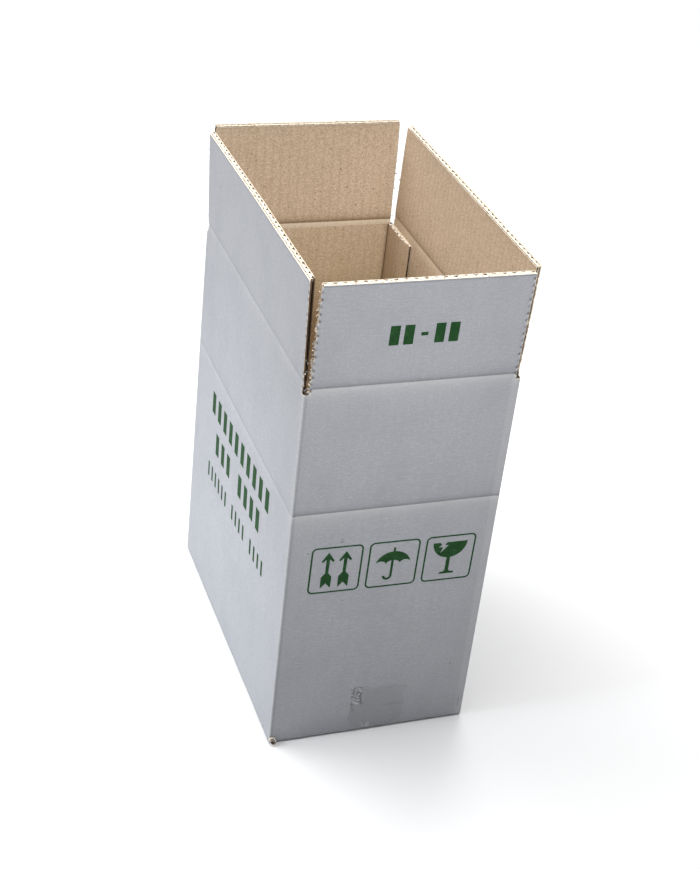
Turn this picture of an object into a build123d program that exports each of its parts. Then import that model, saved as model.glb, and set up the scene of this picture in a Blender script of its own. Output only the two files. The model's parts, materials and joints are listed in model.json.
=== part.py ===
"""Tall shipping box of corrugated board, standing with its four top flaps open.

The box is one creased and folded blank: four panels, a glue lap, four bottom
flaps folded shut and four top flaps that swing about their creases. A strip of
tape runs under the bottom seam and up both short panels.

X runs across the box, Y along it and Z up. The origin is on the underside, at
the middle of the four panels. The front is the short panel that faces -Y.
"""
from build123d import *
import math
import os

# Outside of the four panels, in millimetres
outer_width = 180.0
outer_length = 292.0
short_crease_height = 353.0
second_crease_height = 237.5

# Corrugated board: two liners with a waved medium between them
board_thickness = 3.8
liner_thickness = 0.3
medium_thickness = 0.25
flute_pitch = 7.9
flute_foot_share = 0.42
flute_tip_share = 0.08
flute_edge_margin = 2.5
cut_flute_depth = 1.2
crushed_length = 6.0
hidden_flute_depth = 8.0

# Flaps: the long pair meets over the middle but for a seam, and all end on the blank's straight edge
seam_gap = 8.0
front_lean_angle = 2.9
back_lean_angle = 6.4
left_lean_angle = 1.4
right_lean_angle = 1.8

# Slots between neighbouring flaps
slot_clearance = 0.7
slot_overcut = 4.5

# Creases and folds
hinge_gap = 0.4
stack_clearance = 0.3
corner_radius = 2.0
bottom_fold_radius = 3.0
second_crease_depth = 0.5
second_crease_width = 3.0

# Glue lap, folded in from the back panel behind the right panel
lap_length = 50.0
lap_clearance = 0.5
lap_joint_setback = 2.5
lap_edge_thickness = 1.6
lap_crush_width = 18.0

# Tape under the bottom seam
tape_width = 50.0
tape_thickness = 0.1
tape_offset = 6.0
tape_rise_left = 51.0
tape_rise_right = 46.0
tape_rise_back = 48.0

# Sizes that follow from the ones above
half_width = outer_width / 2
half_length = outer_length / 2
slot_half_width = board_thickness + slot_clearance
long_crease_height = short_crease_height + board_thickness + stack_clearance
crease_relief = hinge_gap / 2 * math.sqrt(2)
long_flap_length = (outer_width - seam_gap) / 2
short_flap_length = long_flap_length + long_crease_height - short_crease_height
short_flap_width = outer_width - 2 * slot_half_width
long_flap_width = outer_length - 2 * slot_half_width
notch_floor = short_crease_height - slot_overcut
lap_fold_x = half_width - board_thickness
lap_top = short_crease_height - board_thickness - lap_clearance
lap_bottom = 2 * board_thickness + stack_clearance + lap_clearance
cut_reach = board_thickness + slot_clearance / 2
overshoot = 2.0


def box_between(low, high):
    """A block from its lowest corner to its highest."""
    size = [b - a for a, b in zip(low, high)]
    block = Box(*size, align=(Align.MIN, Align.MIN, Align.MIN))
    return Pos(*low) * block


def prism_along_x(points, start, end):
    """A prism whose section is given as (y, z) points."""
    section = Plane.YZ.offset(start) * Polygon(*points, align=None)
    return extrude(section, amount=end - start, dir=(1, 0, 0))


def prism_along_y(points, start, end):
    """A prism whose section is given as (x, z) points."""
    section = Plane.XZ.offset(-start) * Polygon(*points, align=None)
    return extrude(section, amount=end - start, dir=(0, 1, 0))


def rounded_foot(width, height, radius):
    """An upright rectangle standing on two rounded corners."""
    outline = Rectangle(width, height, align=(Align.CENTER, Align.MIN))
    feet = outline.vertices().sort_by(Axis.Y)[:2]
    return fillet(feet, radius)


def near_corner(outline, x, y):
    """The vertex of a flat outline at a given place."""
    return outline.vertices().sort_by_distance((x, y, 0))[0]


def box_envelope():
    """The outer form of the panels: rounded folds, and the butted joint at the back right corner."""
    panel_end = half_length - lap_joint_setback
    plan = Polygon(
        (-half_width, -half_length),
        (half_width, -half_length),
        (half_width, panel_end),
        (lap_fold_x, panel_end),
        (lap_fold_x, half_length),
        (-half_width, half_length),
        align=None,
    )
    for x, y in (
        (-half_width, -half_length),
        (half_width, -half_length),
        (-half_width, half_length),
        (lap_fold_x, half_length),
    ):
        plan = fillet(near_corner(plan, x, y), corner_radius)
    column = extrude(plan, amount=long_crease_height)
    across = rounded_foot(outer_width, long_crease_height, bottom_fold_radius)
    along = rounded_foot(outer_length, long_crease_height, bottom_fold_radius)
    column &= extrude(Plane.XZ * across, amount=half_length, both=True)
    column &= extrude(Plane.YZ * along, amount=half_width, both=True)
    return column


def panels(envelope):
    """The four panels as one ring, open above and below."""
    inside = box_between(
        (-half_width + board_thickness, -half_length + board_thickness, -overshoot),
        (half_width - board_thickness, half_length - board_thickness, long_crease_height + overshoot),
    )
    return envelope - inside


def crease_bevel(half_span, crease_height):
    """Section of what the crease takes off a panel's top: above a 45 degree slope down to the inside."""
    slope_start = crease_height - crease_relief
    outside = half_span + overshoot
    inside = half_span - cut_reach
    top = long_crease_height + overshoot
    return [
        (outside, slope_start + overshoot),
        (inside, slope_start - cut_reach),
        (inside, top),
        (outside, top),
    ]


def cut_top_creases(body):
    """Bevels the panel tops for the four flaps and cuts the slots between them."""
    long_section = crease_bevel(half_width, long_crease_height)
    short_section = crease_bevel(half_length, short_crease_height)
    for side in (-1, 1):
        mirrored_long = [(side * x, z) for x, z in long_section]
        mirrored_short = [(side * y, z) for y, z in short_section]
        body -= prism_along_y(mirrored_long, -half_length - overshoot, half_length + overshoot)
        body -= prism_along_x(mirrored_short, -half_width - overshoot, half_width + overshoot)
    top = long_crease_height + overshoot
    for x_side in (-1, 1):
        for y_side in (-1, 1):
            corner = Box(2 * slot_half_width, 2 * slot_half_width, top - notch_floor)
            body -= Pos(x_side * half_width, y_side * half_length, (top + notch_floor) / 2) * corner
    return body


def cut_second_crease(body):
    """The extra crease pressed round the outside, where the box can be cut down to a lower height."""
    half_groove = second_crease_width / 2
    low = second_crease_height - half_groove
    high = second_crease_height + half_groove
    for side in (-1, 1):
        for half_span, prism, reach in (
            (half_width, prism_along_y, half_length),
            (half_length, prism_along_x, half_width),
        ):
            face = side * half_span
            floor = side * (half_span - second_crease_depth)
            section = [(face, low), (floor, second_crease_height), (face, high)]
            outer = side * (half_span + overshoot)
            section += [(outer, high), (outer, low)]
            body -= prism(section, -reach - overshoot, reach + overshoot)
    return body


def flute_channels(width):
    """Sections of the air channels on both sides of the waved medium, across a flap's top edge."""
    count = int((width - 2 * flute_edge_margin) // flute_pitch)
    wide = flute_foot_share * flute_pitch - medium_thickness
    narrow = flute_tip_share * flute_pitch - medium_thickness
    near = liner_thickness
    far = board_thickness - liner_thickness
    start = -count * flute_pitch / 2
    sections = []
    for index in range(2 * count - 1):
        centre = start + (index + 1) * flute_pitch / 2
        if index % 2 == 0:
            base = near
            tip = far - medium_thickness
        else:
            base = far
            tip = near + medium_thickness
        sections.append(
            Polygon(
                (centre - wide, base),
                (centre + wide, base),
                (centre + narrow, tip),
                (centre - narrow, tip),
                align=None,
            )
        )
    return Sketch(children=sections)


def open_flutes(edge, width):
    """Open ends of the channels in a cut edge, given as a plane on the edge that faces into the board."""
    return extrude(edge * flute_channels(width), amount=hidden_flute_depth)


def bottom_flaps(envelope):
    """The four bottom flaps: the short pair inside, the long pair under them, meeting at the middle."""
    flaps = []
    long_reach = half_length - slot_half_width
    short_reach = half_width - slot_half_width
    inner_floor = board_thickness + stack_clearance
    for side in (-1, 1):
        free_end = half_width - long_flap_length
        edges = sorted((side * half_width, side * free_end))
        outer_flap = box_between((edges[0], -long_reach, 0), (edges[1], long_reach, board_thickness))
        seam_edge = Plane(
            origin=(side * free_end, 0, 0),
            x_dir=(0, side, 0),
            z_dir=(side, 0, 0),
        )
        outer_flap -= open_flutes(seam_edge, 2 * long_reach)
        flaps.append(outer_flap & envelope)
        free_end = half_length - short_flap_length
        edges = sorted((side * (half_length - board_thickness / 2), side * free_end))
        inner_flap = box_between(
            (-short_reach, edges[0], inner_floor),
            (short_reach, edges[1], inner_floor + board_thickness),
        )
        free_edge = Plane(
            origin=(0, side * free_end, inner_floor),
            x_dir=(-side, 0, 0),
            z_dir=(0, side, 0),
        )
        flaps.append(inner_flap - open_flutes(free_edge, 2 * short_reach))
    return flaps


def glue_lap():
    """The lap that makes the blank a tube: glued inside the right panel, pressed thin at its edge."""
    glued_face = half_width - board_thickness
    fold = half_length - board_thickness
    lap_end = fold - lap_length
    plan = Polygon(
        (glued_face, lap_end),
        (glued_face, fold),
        (glued_face - board_thickness, fold),
        (glued_face - board_thickness, lap_end + lap_crush_width),
        (glued_face - lap_edge_thickness, lap_end),
        align=None,
    )
    lap = extrude(Pos(0, 0, lap_bottom) * plan, amount=lap_top - lap_bottom, dir=(0, 0, 1))
    whole_width = lap_length - lap_crush_width
    top_edge = Plane(
        origin=(glued_face, fold - whole_width / 2, lap_top),
        x_dir=(0, -1, 0),
        z_dir=(0, 0, -1),
    )
    return lap - open_flutes(top_edge, whole_width)


def open_raw_end(body):
    """Opens the last flute at the right panel's raw end, which butts against the back panel's fold."""
    raw_end = half_length - lap_joint_setback
    inside = half_width - board_thickness + liner_thickness
    return body - box_between(
        (inside, raw_end - cut_flute_depth, bottom_fold_radius),
        (half_width - liner_thickness, raw_end + overshoot, notch_floor + overshoot),
    )


def tape_strip():
    """Tape pressed flat into the board, under the seam and up the front and back panels."""
    top = max(tape_rise_left, tape_rise_right, tape_rise_back) + overshoot
    outer = rounded_foot(outer_length, top, bottom_fold_radius)
    hollow = rounded_foot(outer_length - 2 * tape_thickness, top, bottom_fold_radius - tape_thickness)
    section = Plane.YZ * (outer - Pos(0, tape_thickness) * hollow)
    left = tape_offset - tape_width / 2
    right = tape_offset + tape_width / 2
    strip = Pos(left, 0, 0) * extrude(section, amount=tape_width)
    front_end = [
        (left - overshoot, top + overshoot),
        (left - overshoot, tape_rise_left),
        (left, tape_rise_left),
        (right, tape_rise_right),
        (right + overshoot, tape_rise_right),
        (right + overshoot, top + overshoot),
    ]
    strip -= prism_along_y(front_end, -half_length - overshoot, 0)
    strip -= box_between(
        (left - overshoot, 0, tape_rise_back),
        (right + overshoot, half_length + overshoot, top + overshoot),
    )
    return strip


def box_body(tape):
    """Panels, glue lap and bottom flaps, folded from one blank."""
    envelope = box_envelope()
    body = panels(envelope)
    body = cut_top_creases(body)
    body = cut_second_crease(body)
    body += bottom_flaps(envelope)
    body += glue_lap()
    body = open_raw_end(body)
    return body - tape


def top_flap(width, length):
    """A flap standing on its crease: crease line along X at the origin, outside facing -Y."""
    root = crease_relief
    section = [
        (0, root),
        (board_thickness, root + board_thickness),
        (board_thickness, length),
        (0, length),
    ]
    flap = prism_along_x(section, -width / 2, width / 2)
    channel_floor = board_thickness + crushed_length
    channels = Pos(0, 0, channel_floor) * flute_channels(width)
    flap -= extrude(channels, amount=length, dir=(0, 0, 1))
    for side in (-1, 1):
        edges = sorted((side * (width / 2 - cut_flute_depth), side * (width / 2 + overshoot)))
        flap -= box_between(
            (edges[0], liner_thickness, channel_floor),
            (edges[1], board_thickness - liner_thickness, length + overshoot),
        )
    return flap


def short_flap(lean, turn):
    """A front or back flap, leaned outwards about its crease and turned to its side of the box."""
    leaning = Rot(X=lean) * top_flap(short_flap_width, short_flap_length)
    return Rot(Z=turn) * (Pos(0, -half_length, short_crease_height) * leaning)


def long_flap(lean, turn):
    """A left or right flap, placed in the same way on its higher crease."""
    leaning = Rot(X=lean) * top_flap(long_flap_width, long_flap_length)
    return Rot(Z=turn) * (Pos(0, -half_width, long_crease_height) * leaning)


def build():
    """Every piece of the box by its name."""
    tape = tape_strip()
    return {
        "box_body": box_body(tape),
        "front_flap": short_flap(front_lean_angle, 0),
        "back_flap": short_flap(back_lean_angle, 180),
        "left_flap": long_flap(left_lean_angle, -90),
        "right_flap": long_flap(right_lean_angle, 90),
        "bottom_tape": tape,
    }


os.makedirs("parts", exist_ok=True)
for name, piece in build().items():
    solids = piece.solids()
    shape = solids[0] if len(solids) == 1 else Compound(children=list(solids))
    export_step(shape, f"parts/{name}.step")
    print(f"{name}: {len(solids)} solid, {shape.volume / 1000:.1f} cm3")
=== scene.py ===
# %% [markdown]
# # A tall shipping box of white-faced corrugated board
#
# The real box is one flat blank, cut, creased, folded and glued into a tube, with its bottom flaps
# taped shut and its top flaps standing open. Board looks like board because of what it is made of: a
# white liner outside, a brown kraft liner inside and a waved medium between them. This lesson models
# those three papers as thin sheets, and folds them with small functions, so every cut edge, slot and
# crease shows what the real one shows.

import json
import math
import random

import bmesh
import bpy
import numpy as np
from mathutils import Euler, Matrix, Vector
from mathutils.geometry import tessellate_polygon


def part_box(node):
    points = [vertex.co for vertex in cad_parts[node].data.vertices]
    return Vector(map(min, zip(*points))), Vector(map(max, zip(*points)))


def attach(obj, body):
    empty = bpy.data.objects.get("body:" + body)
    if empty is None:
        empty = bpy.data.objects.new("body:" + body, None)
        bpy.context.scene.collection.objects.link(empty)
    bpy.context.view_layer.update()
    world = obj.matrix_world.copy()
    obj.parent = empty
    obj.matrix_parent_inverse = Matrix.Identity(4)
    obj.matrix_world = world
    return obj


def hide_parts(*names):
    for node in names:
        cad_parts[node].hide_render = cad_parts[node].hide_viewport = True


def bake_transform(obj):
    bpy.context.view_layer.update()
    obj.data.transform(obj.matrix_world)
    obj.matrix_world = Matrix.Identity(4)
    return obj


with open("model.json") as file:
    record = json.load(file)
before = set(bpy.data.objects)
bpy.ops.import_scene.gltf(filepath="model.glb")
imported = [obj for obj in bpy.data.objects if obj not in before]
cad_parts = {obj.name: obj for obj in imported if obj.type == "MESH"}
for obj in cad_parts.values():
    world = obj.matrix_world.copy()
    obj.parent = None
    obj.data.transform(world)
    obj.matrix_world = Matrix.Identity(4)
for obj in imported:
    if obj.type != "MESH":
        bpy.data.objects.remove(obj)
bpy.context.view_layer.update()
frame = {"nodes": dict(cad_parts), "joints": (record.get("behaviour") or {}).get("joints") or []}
print("nodes:", ", ".join(sorted(frame["nodes"])))

# %% [markdown]
# ## The box's own sizes
#
# Everything is placed from the frame: the body's corners give the panels, and the four hinges give
# the creases. Only what the frame can't tell, such as the thickness of one paper, is written down
# here. All lengths are in metres, so `mm` turns a maker's number into one.

# %% Sizes of the panels and the board
mm = 0.001
body_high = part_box("box_body")[1]
half_width = body_high.x
half_length = body_high.y
hinges = {joint["child"]: joint for joint in frame["joints"]}
short_crease = hinges["flap_front"]["pos_m"][2]
long_crease = hinges["flap_left"]["pos_m"][2]
second_crease = 237.5 * mm

board = 3.8 * mm
liner = 0.3 * mm
medium = 0.25 * mm
flute_pitch = 7.9 * mm
slot_half_width = 4.5 * mm
slot_floor = short_crease - 4.5 * mm
fold_radius = 2.0 * mm
bottom_radius = 3.0 * mm
print(f"panels {2 * half_width / mm:.0f} x {2 * half_length / mm:.0f} mm")
print(f"creases at {short_crease / mm:.1f} and {long_crease / mm:.1f} mm")

# %% [markdown]
# ## Four sides, one rule
#
# Each panel carries the same things: a crease, a flap and flutes that run upwards. So a side is
# described by the direction it faces (`out`), the direction that runs to the right for someone who
# looks at it from outside (`along`), how far it is from the middle (`reach`) and half its width
# (`half`). A point of any side is then given by three numbers: how far along, how deep into the
# board, and how high.

# %% The four sides


def describe_side(out, reach, half, crease):
    """The facts of a side. Along it means a quarter turn to the left of where it faces."""
    return {"out": out, "along": (-out[1], out[0]), "reach": reach, "half": half, "crease": crease}


sides = {
    "back": describe_side((0, 1), half_length, half_width, short_crease),
    "left": describe_side((-1, 0), half_width, half_length, long_crease),
    "front": describe_side((0, -1), half_length, half_width, short_crease),
    "right": describe_side((1, 0), half_width, half_length, long_crease),
}
side_names = list(sides)
for side, facing in sides.items():
    print(f"{side}: {2 * facing['half'] / mm:.0f} mm wide, creased at {facing['crease'] / mm:.1f} mm")


# %% Points, steps and humps


def plan_point(side, along, depth):
    """Where a point of a side lies in plan, from its place along the side and its depth into the board."""
    facing = sides[side]
    distance = facing["reach"] - depth
    x = facing["out"][0] * distance + facing["along"][0] * along
    y = facing["out"][1] * distance + facing["along"][1] * along
    return np.stack([x, y], axis=-1)


def smooth(value):
    """Rises softly from 0 to 1 as the value does."""
    t = np.clip(value, 0.0, 1.0)
    return t * t * (3.0 - 2.0 * t)


def bump(value, width):
    """A soft rounded hump, 1 at zero and gone two widths away."""
    return np.exp(-(value / width) ** 2)


# %% [markdown]
# ## How flat board is never flat
#
# A flat plane looks like plastic. On real board the flutes print through the papers as a faint
# washboard, the panel bows a little between its folds, and every crease is a pressed valley with a
# soft bead beside it. These could be painted as bump in the material, but light grazes a box at all
# its edges, and there only a real shape holds. So they are two functions that give the height of the
# outer and the inner face anywhere on a side. The panels, the flaps and the print all ask the same
# functions, so that they fit each other exactly.

# %% Relief of the two faces
washboard_outside = 0.015 * mm
washboard_inside = 0.045 * mm
panel_bow = 0.5 * mm
crease_depth = 0.8 * mm
second_crease_depth = 0.7 * mm
inner_bead = 0.25 * mm
print(f"a crease is pressed {crease_depth / mm:.1f} mm deep, a panel bows by {panel_bow / mm:.1f} mm")


def unevenness(along, height):
    """A slow wandering of the sheet, made of a few long waves that never line up."""
    wave = np.sin(along / (31 * mm) + height / (83 * mm))
    wave = wave + np.sin(height / (47 * mm) - along / (71 * mm) + 1.3)
    wave = wave + 0.6 * np.sin(along / (17 * mm) + height / (39 * mm) + 2.1)
    return 0.05 * mm * wave


def bowing(side, along, height):
    """The outward bow of a panel between its folds, its bottom and its crease. It is nothing on a flap."""
    facing = sides[side]
    level = np.clip((height + facing["crease"]) / facing["crease"], 0.0, 1.0)
    across = np.cos(0.5 * math.pi * along / facing["half"])
    return panel_bow * across * np.sin(math.pi * level)


def fold_fade(side, along):
    """1 over a side, falling to 0 at its folds, where the relief ends."""
    return smooth((sides[side]["half"] - fold_radius - np.abs(along)) / (3 * mm))


def pressed(height, above, below):
    """The section of a pressed line: a sharp 1 at its bottom, that dies out slowly above and below."""
    return np.exp(-np.abs(height) / np.where(height > 0, above, below))


def painted_crease_light(height):
    """Painted shade and highlight of a pressed line, as light from above would give them: dark above it,
    light below, both fading away, with a thin darker line just above it.
    """
    fade = np.where(height > 0, -0.9 * np.exp(-height / (3.5 * mm)), 0.9 * np.exp(height / (5.0 * mm)))
    return fade - 0.2 * bump(height - 0.9 * mm, 0.8 * mm)


def outer_relief(side, along, height):
    """How far the white face stands out from its plane. Height is counted from the side's crease."""
    from_second = height + sides[side]["crease"] - second_crease
    relief = washboard_outside * np.cos(2 * math.pi * along / flute_pitch)
    relief = relief + unevenness(along, height) + bowing(side, along, height)
    relief = relief - crease_depth * pressed(height, 2.4 * mm, 5.0 * mm)
    relief = relief - second_crease_depth * pressed(from_second, 3.2 * mm, 5.5 * mm)
    return relief * fold_fade(side, along)


def inner_relief(side, along, height):
    """How far the kraft face stands into the box from its plane."""
    from_second = height + sides[side]["crease"] - second_crease
    relief = washboard_inside * np.cos(2 * math.pi * along / flute_pitch)
    relief = relief + 0.7 * unevenness(along, height) - bowing(side, along, height)
    relief = relief - crease_depth * pressed(height, 2.6 * mm, 4.5 * mm)
    relief = relief + inner_bead * bump(from_second, 2.5 * mm)
    return relief * fold_fade(side, along)


# %% [markdown]
# ## One sheet of paper
#
# Every paper of the box is a slab: a grid of points for one face, a grid for the other, and a strip
# round the edge, so it is closed and has a real thickness. `place` says how the sheet is folded in
# space, and `front` and `back` say how deep its two faces lie. Building slabs from arrays is quick,
# and one function makes the liners, the medium and the tape. Each point also keeps its place on the
# flat blank in an attribute called `blank`. The materials read that, so the grain of the paper runs
# along the blank and stays with a flap when the flap swings.

# %% Slabs and pieces


def slab(place, columns, heights, front, back, papers, blank, trim=None, torn=None, wear=None):
    """A closed sheet. Papers are those of its front, its back, its open ends and its sides."""
    column, height = np.meshgrid(columns, heights, indexing="ij")
    shape = column.shape
    face_papers = [np.full((shape[0] - 1) * (shape[1] - 1), paper, dtype=object) for paper in papers[:2]]
    if torn is not None:
        middles = [0.5 * (grid[:-1, :-1] + grid[1:, 1:]).ravel() for grid in (column, height)]
        shown = torn(*middles)
        face_papers = [np.where(paper == "medium_paper", shown, paper) for paper in face_papers]
    if trim is not None:
        column, height = trim(column, height)
    column = column.ravel()
    height = height.ravel()
    front_depth = front(column, height)
    back_depth = back(column, height)
    points = np.concatenate([place(column, front_depth, height), place(column, back_depth, height)])
    across = blank(column)
    marks = [np.stack([across, height, depth], axis=-1) for depth in (front_depth, back_depth)]
    wear_and_light_values = np.zeros(len(column)) if wear is None else wear(column, height)
    index = np.arange(shape[0] * shape[1]).reshape(shape)
    corners = [index[:-1, :-1], index[1:, :-1], index[1:, 1:], index[:-1, 1:]]
    front_faces = np.stack(corners, axis=-1).reshape(-1, 4)
    back_faces = (front_faces + index.size)[:, ::-1]
    loop = np.concatenate([index[:, 0], index[-1, 1:], index[-2::-1, -1], index[0, -2:0:-1]])
    behind = loop + index.size
    edge_faces = np.stack([loop, behind, np.roll(behind, -1), np.roll(loop, -1)], axis=-1)
    faces = np.concatenate([front_faces, back_faces, edge_faces])
    end, side = papers[2:]
    edge_papers = np.repeat([end, side, end, side], [shape[0] - 1, shape[1] - 1] * 2)
    paper = np.concatenate([*face_papers, edge_papers])
    return {
        "points": points,
        "faces": faces,
        "paper": paper,
        "blank": np.concatenate(marks),
        "wear": np.tile(wear_and_light_values, 2),
    }


# %% [markdown]
# A piece joins several slabs in one mesh. The materials differ from face to face, so each face keeps
# the number of its paper's slot. Shading is smooth, but an edge sharper than `smooth_angle` stays
# crisp, as a cut edge is.

# %% From sheets to a piece


def make_piece(name, sheets, smooth_angle=35):
    """One object from several sheets, with a material slot for each paper that they use."""
    papers = sorted(set(np.concatenate([sheet["paper"] for sheet in sheets])))
    points = np.concatenate([sheet["points"] for sheet in sheets])
    starts = np.cumsum([0] + [len(sheet["points"]) for sheet in sheets[:-1]])
    faces = np.concatenate([sheet["faces"] + start for sheet, start in zip(sheets, starts)])
    mesh = bpy.data.meshes.new(name)
    mesh.from_pydata(points.tolist(), [], faces.tolist())
    slots = np.concatenate([[papers.index(p) for p in sheet["paper"]] for sheet in sheets])
    mesh.polygons.foreach_set("material_index", slots.astype(np.int32))
    marks = mesh.attributes.new("blank", "FLOAT_VECTOR", "POINT")
    on_blank = np.concatenate([sheet["blank"] for sheet in sheets])
    marks.data.foreach_set("vector", on_blank.astype(np.float32).ravel())
    wear_and_light_values = mesh.attributes.new("wear", "FLOAT", "POINT")
    wear = np.concatenate([sheet["wear"] for sheet in sheets])
    wear_and_light_values.data.foreach_set("value", wear.astype(np.float32))
    for paper in papers:
        mesh.materials.append(materials[paper])
    mesh.shade_smooth()
    mesh.set_sharp_from_angle(angle=math.radians(smooth_angle))
    mesh.update()
    piece = bpy.data.objects.new(name, mesh)
    bpy.context.scene.collection.objects.link(piece)
    print(f"{name}: {2 * len(faces)} triangles, {len(sheets)} sheets")
    return piece


# %% [markdown]
# ## Paper finishes
#
# Paper is felted fibre. Close up it is mottled, a little hairy along the machine's direction and
# speckled with darker bits, and it has almost no gloss. Each finish is built the same way: a slow
# cloudy noise, a fine noise that is stretched along the fibres, and a few specks, mixed into the
# colour and used again as bump. A photograph of paper would be quicker, but a procedural finish has
# no seams and stays sharp at any distance.

# %% A small kit for node materials
materials = {}


class Finish:
    """A material under construction, with short calls for the nodes that papers need."""

    def __init__(self, name, roughness):
        self.material = bpy.data.materials.new(name)
        self.material.use_nodes = True
        self.tree = self.material.node_tree
        self.shader = self.tree.nodes["Principled BSDF"]
        self.shader.inputs["Roughness"].default_value = roughness
        self.blank = self.attribute("blank")
        # Tone from the mesh: pale at cut edges and for painted highlight, dark for painted shade
        self.wear = self.attribute("wear").outputs["Fac"]
        materials[name] = self.material
        print("finish:", name)

    def attribute(self, name):
        node = self.tree.nodes.new("ShaderNodeAttribute")
        node.attribute_name = name
        return node

    def link(self, source, target):
        self.tree.links.new(source, target)

    def noise(self, scale, stretch=(1, 1, 1), detail=4.0, roughness=0.6):
        """Noise on the flat blank, its grain stretched along the directions whose factor is small."""
        mapping = self.tree.nodes.new("ShaderNodeMapping")
        mapping.inputs["Scale"].default_value = stretch
        self.link(self.blank.outputs["Vector"], mapping.inputs["Vector"])
        texture = self.tree.nodes.new("ShaderNodeTexNoise")
        texture.inputs["Scale"].default_value = scale
        texture.inputs["Detail"].default_value = detail
        texture.inputs["Roughness"].default_value = roughness
        self.link(mapping.outputs["Vector"], texture.inputs["Vector"])
        return texture.outputs["Fac"]

    def flutes(self):
        """Stripes along the flutes, one for each wave of the medium."""
        mapping = self.tree.nodes.new("ShaderNodeMapping")
        mapping.inputs["Scale"].default_value = (2 * math.pi / flute_pitch, 0, 0)
        self.link(self.blank.outputs["Vector"], mapping.inputs["Vector"])
        split = self.tree.nodes.new("ShaderNodeSeparateXYZ")
        self.link(mapping.outputs["Vector"], split.inputs["Vector"])
        wave = self.tree.nodes.new("ShaderNodeMath")
        wave.operation = "COSINE"
        self.link(split.outputs["X"], wave.inputs[0])
        return self.band(wave.outputs["Value"], -1.0, 1.0)

    def place_up_the_blank(self):
        """How high a point lies on the flat blank, in metres from the bottom crease."""
        split = self.tree.nodes.new("ShaderNodeSeparateXYZ")
        self.link(self.blank.outputs["Vector"], split.inputs["Vector"])
        return split.outputs["Y"]

    def band(self, value, low, high, start=0.0, end=1.0):
        """A value squeezed between two limits."""
        ramp = self.tree.nodes.new("ShaderNodeMapRange")
        ramp.inputs["From Min"].default_value = low
        ramp.inputs["From Max"].default_value = high
        ramp.inputs["To Min"].default_value = start
        ramp.inputs["To Max"].default_value = end
        self.link(value, ramp.inputs["Value"])
        return ramp.outputs["Result"]

    def tint(self, colour, other, amount):
        """One colour laid over another by a mask."""
        mix = self.tree.nodes.new("ShaderNodeMix")
        mix.data_type = "RGBA"
        for socket, value in (("A", colour), ("B", other)):
            target = [s for s in mix.inputs if s.name == socket and s.type == "RGBA"][0]
            if isinstance(value, tuple):
                target.default_value = (*value, 1.0)
            else:
                self.link(value, target)
        self.link(amount, mix.inputs["Factor"])
        return [s for s in mix.outputs if s.type == "RGBA"][0]

    def colour(self, colour):
        self.link(colour, self.shader.inputs["Base Color"])

    def relief(self, height, depth, after=None):
        """Bump from a height, in metres, on top of an earlier bump."""
        node = self.tree.nodes.new("ShaderNodeBump")
        node.inputs["Strength"].default_value = 1.0
        node.inputs["Distance"].default_value = depth
        self.link(height, node.inputs["Height"])
        if after is not None:
            self.link(after, node.inputs["Normal"])
        self.link(node.outputs["Normal"], self.shader.inputs["Normal"])
        return node.outputs["Normal"]


# %% [markdown]
# The white liner is the outside of the box: bleached fibre over grey, cool and slightly cloudy. Its
# fibres lie across the flutes, so the grain runs sideways, and the flutes show as faint upright
# stripes.

# %% White liner
liner_white = (0.392, 0.401, 0.428)
liner_shade = (0.335, 0.345, 0.375)
liner_light = (0.475, 0.482, 0.503)
liner_worn_and_highlight = (0.66, 0.655, 0.645)
liner_painted_shade = (0.085, 0.085, 0.09)
speck_grey = (0.20, 0.20, 0.20)


def finish_white_liner():
    """Bleached paper: clouds, fibres and faint flute stripes, pale at cut and torn edges and where a
    highlight is painted, and dark where shade is painted.
    """
    paper = Finish("white_liner", 0.62)
    cloud = paper.noise(26, (1, 0.7, 1), detail=3)
    fibre = paper.noise(620, (0.22, 1, 1), detail=2)
    fine = paper.noise(1100, (0.5, 1, 1), detail=3)
    speck = paper.noise(420, detail=1)
    face = paper.tint(liner_white, liner_shade, paper.band(cloud, 0.44, 0.70))
    face = paper.tint(face, liner_light, paper.band(fibre, 0.44, 0.70, 0.0, 0.62))
    face = paper.tint(face, liner_shade, paper.band(fine, 0.42, 0.62, 0.0, 1.0))
    face = paper.tint(face, liner_shade, paper.band(paper.flutes(), 0.0, 0.4, 0.16, 0.0))
    face = paper.tint(face, speck_grey, paper.band(speck, 0.775, 0.80, 0.0, 0.5))
    # Pale at cut and torn edges, and painted highlight over folds and below creases
    face = paper.tint(face, liner_worn_and_highlight, paper.band(paper.wear, 0.0, 1.0))
    # Painted shade under the cut lips, beside bites, beside the front's left fold and above creases, and
    # darker towards the bottom
    face = paper.tint(face, liner_painted_shade, paper.band(paper.wear, 0.0, -1.0))
    paper.colour(face)
    rough = paper.relief(fine, 0.09 * mm)
    paper.relief(fibre, 0.14 * mm, rough)


finish_white_liner()

# %% [markdown]
# The kraft liner is unbleached: warm brown, with pale and dark fibres and a coarser mottle, and a
# painted golden bounce light deep in the box. The medium is thinner and darker, and its colour is
# painted darker still, as shade for the flute channels. Where a knife has cut or crushed the board the
# torn fibres go pale, which makes the cream cut edges.

# %% Kraft liner, medium and cut edge
kraft_brown = (0.575, 0.447, 0.32)
kraft_dark = (0.43, 0.32, 0.212)
kraft_light = (0.71, 0.575, 0.44)
kraft_bounce_tint = (0.50, 0.37, 0.11)
kraft_speck = (0.22, 0.15, 0.10)
kraft_painted_shade = (0.12, 0.055, 0.015)
# The medium's browns are darker than the paper: painted shade for the deep flute channels it lines
medium_brown = (0.16, 0.105, 0.06)
medium_dark = (0.09, 0.054, 0.03)
medium_streak = (0.36, 0.26, 0.17)
edge_cream = (0.82, 0.74, 0.62)
edge_shade = (0.50, 0.38, 0.25)


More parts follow.
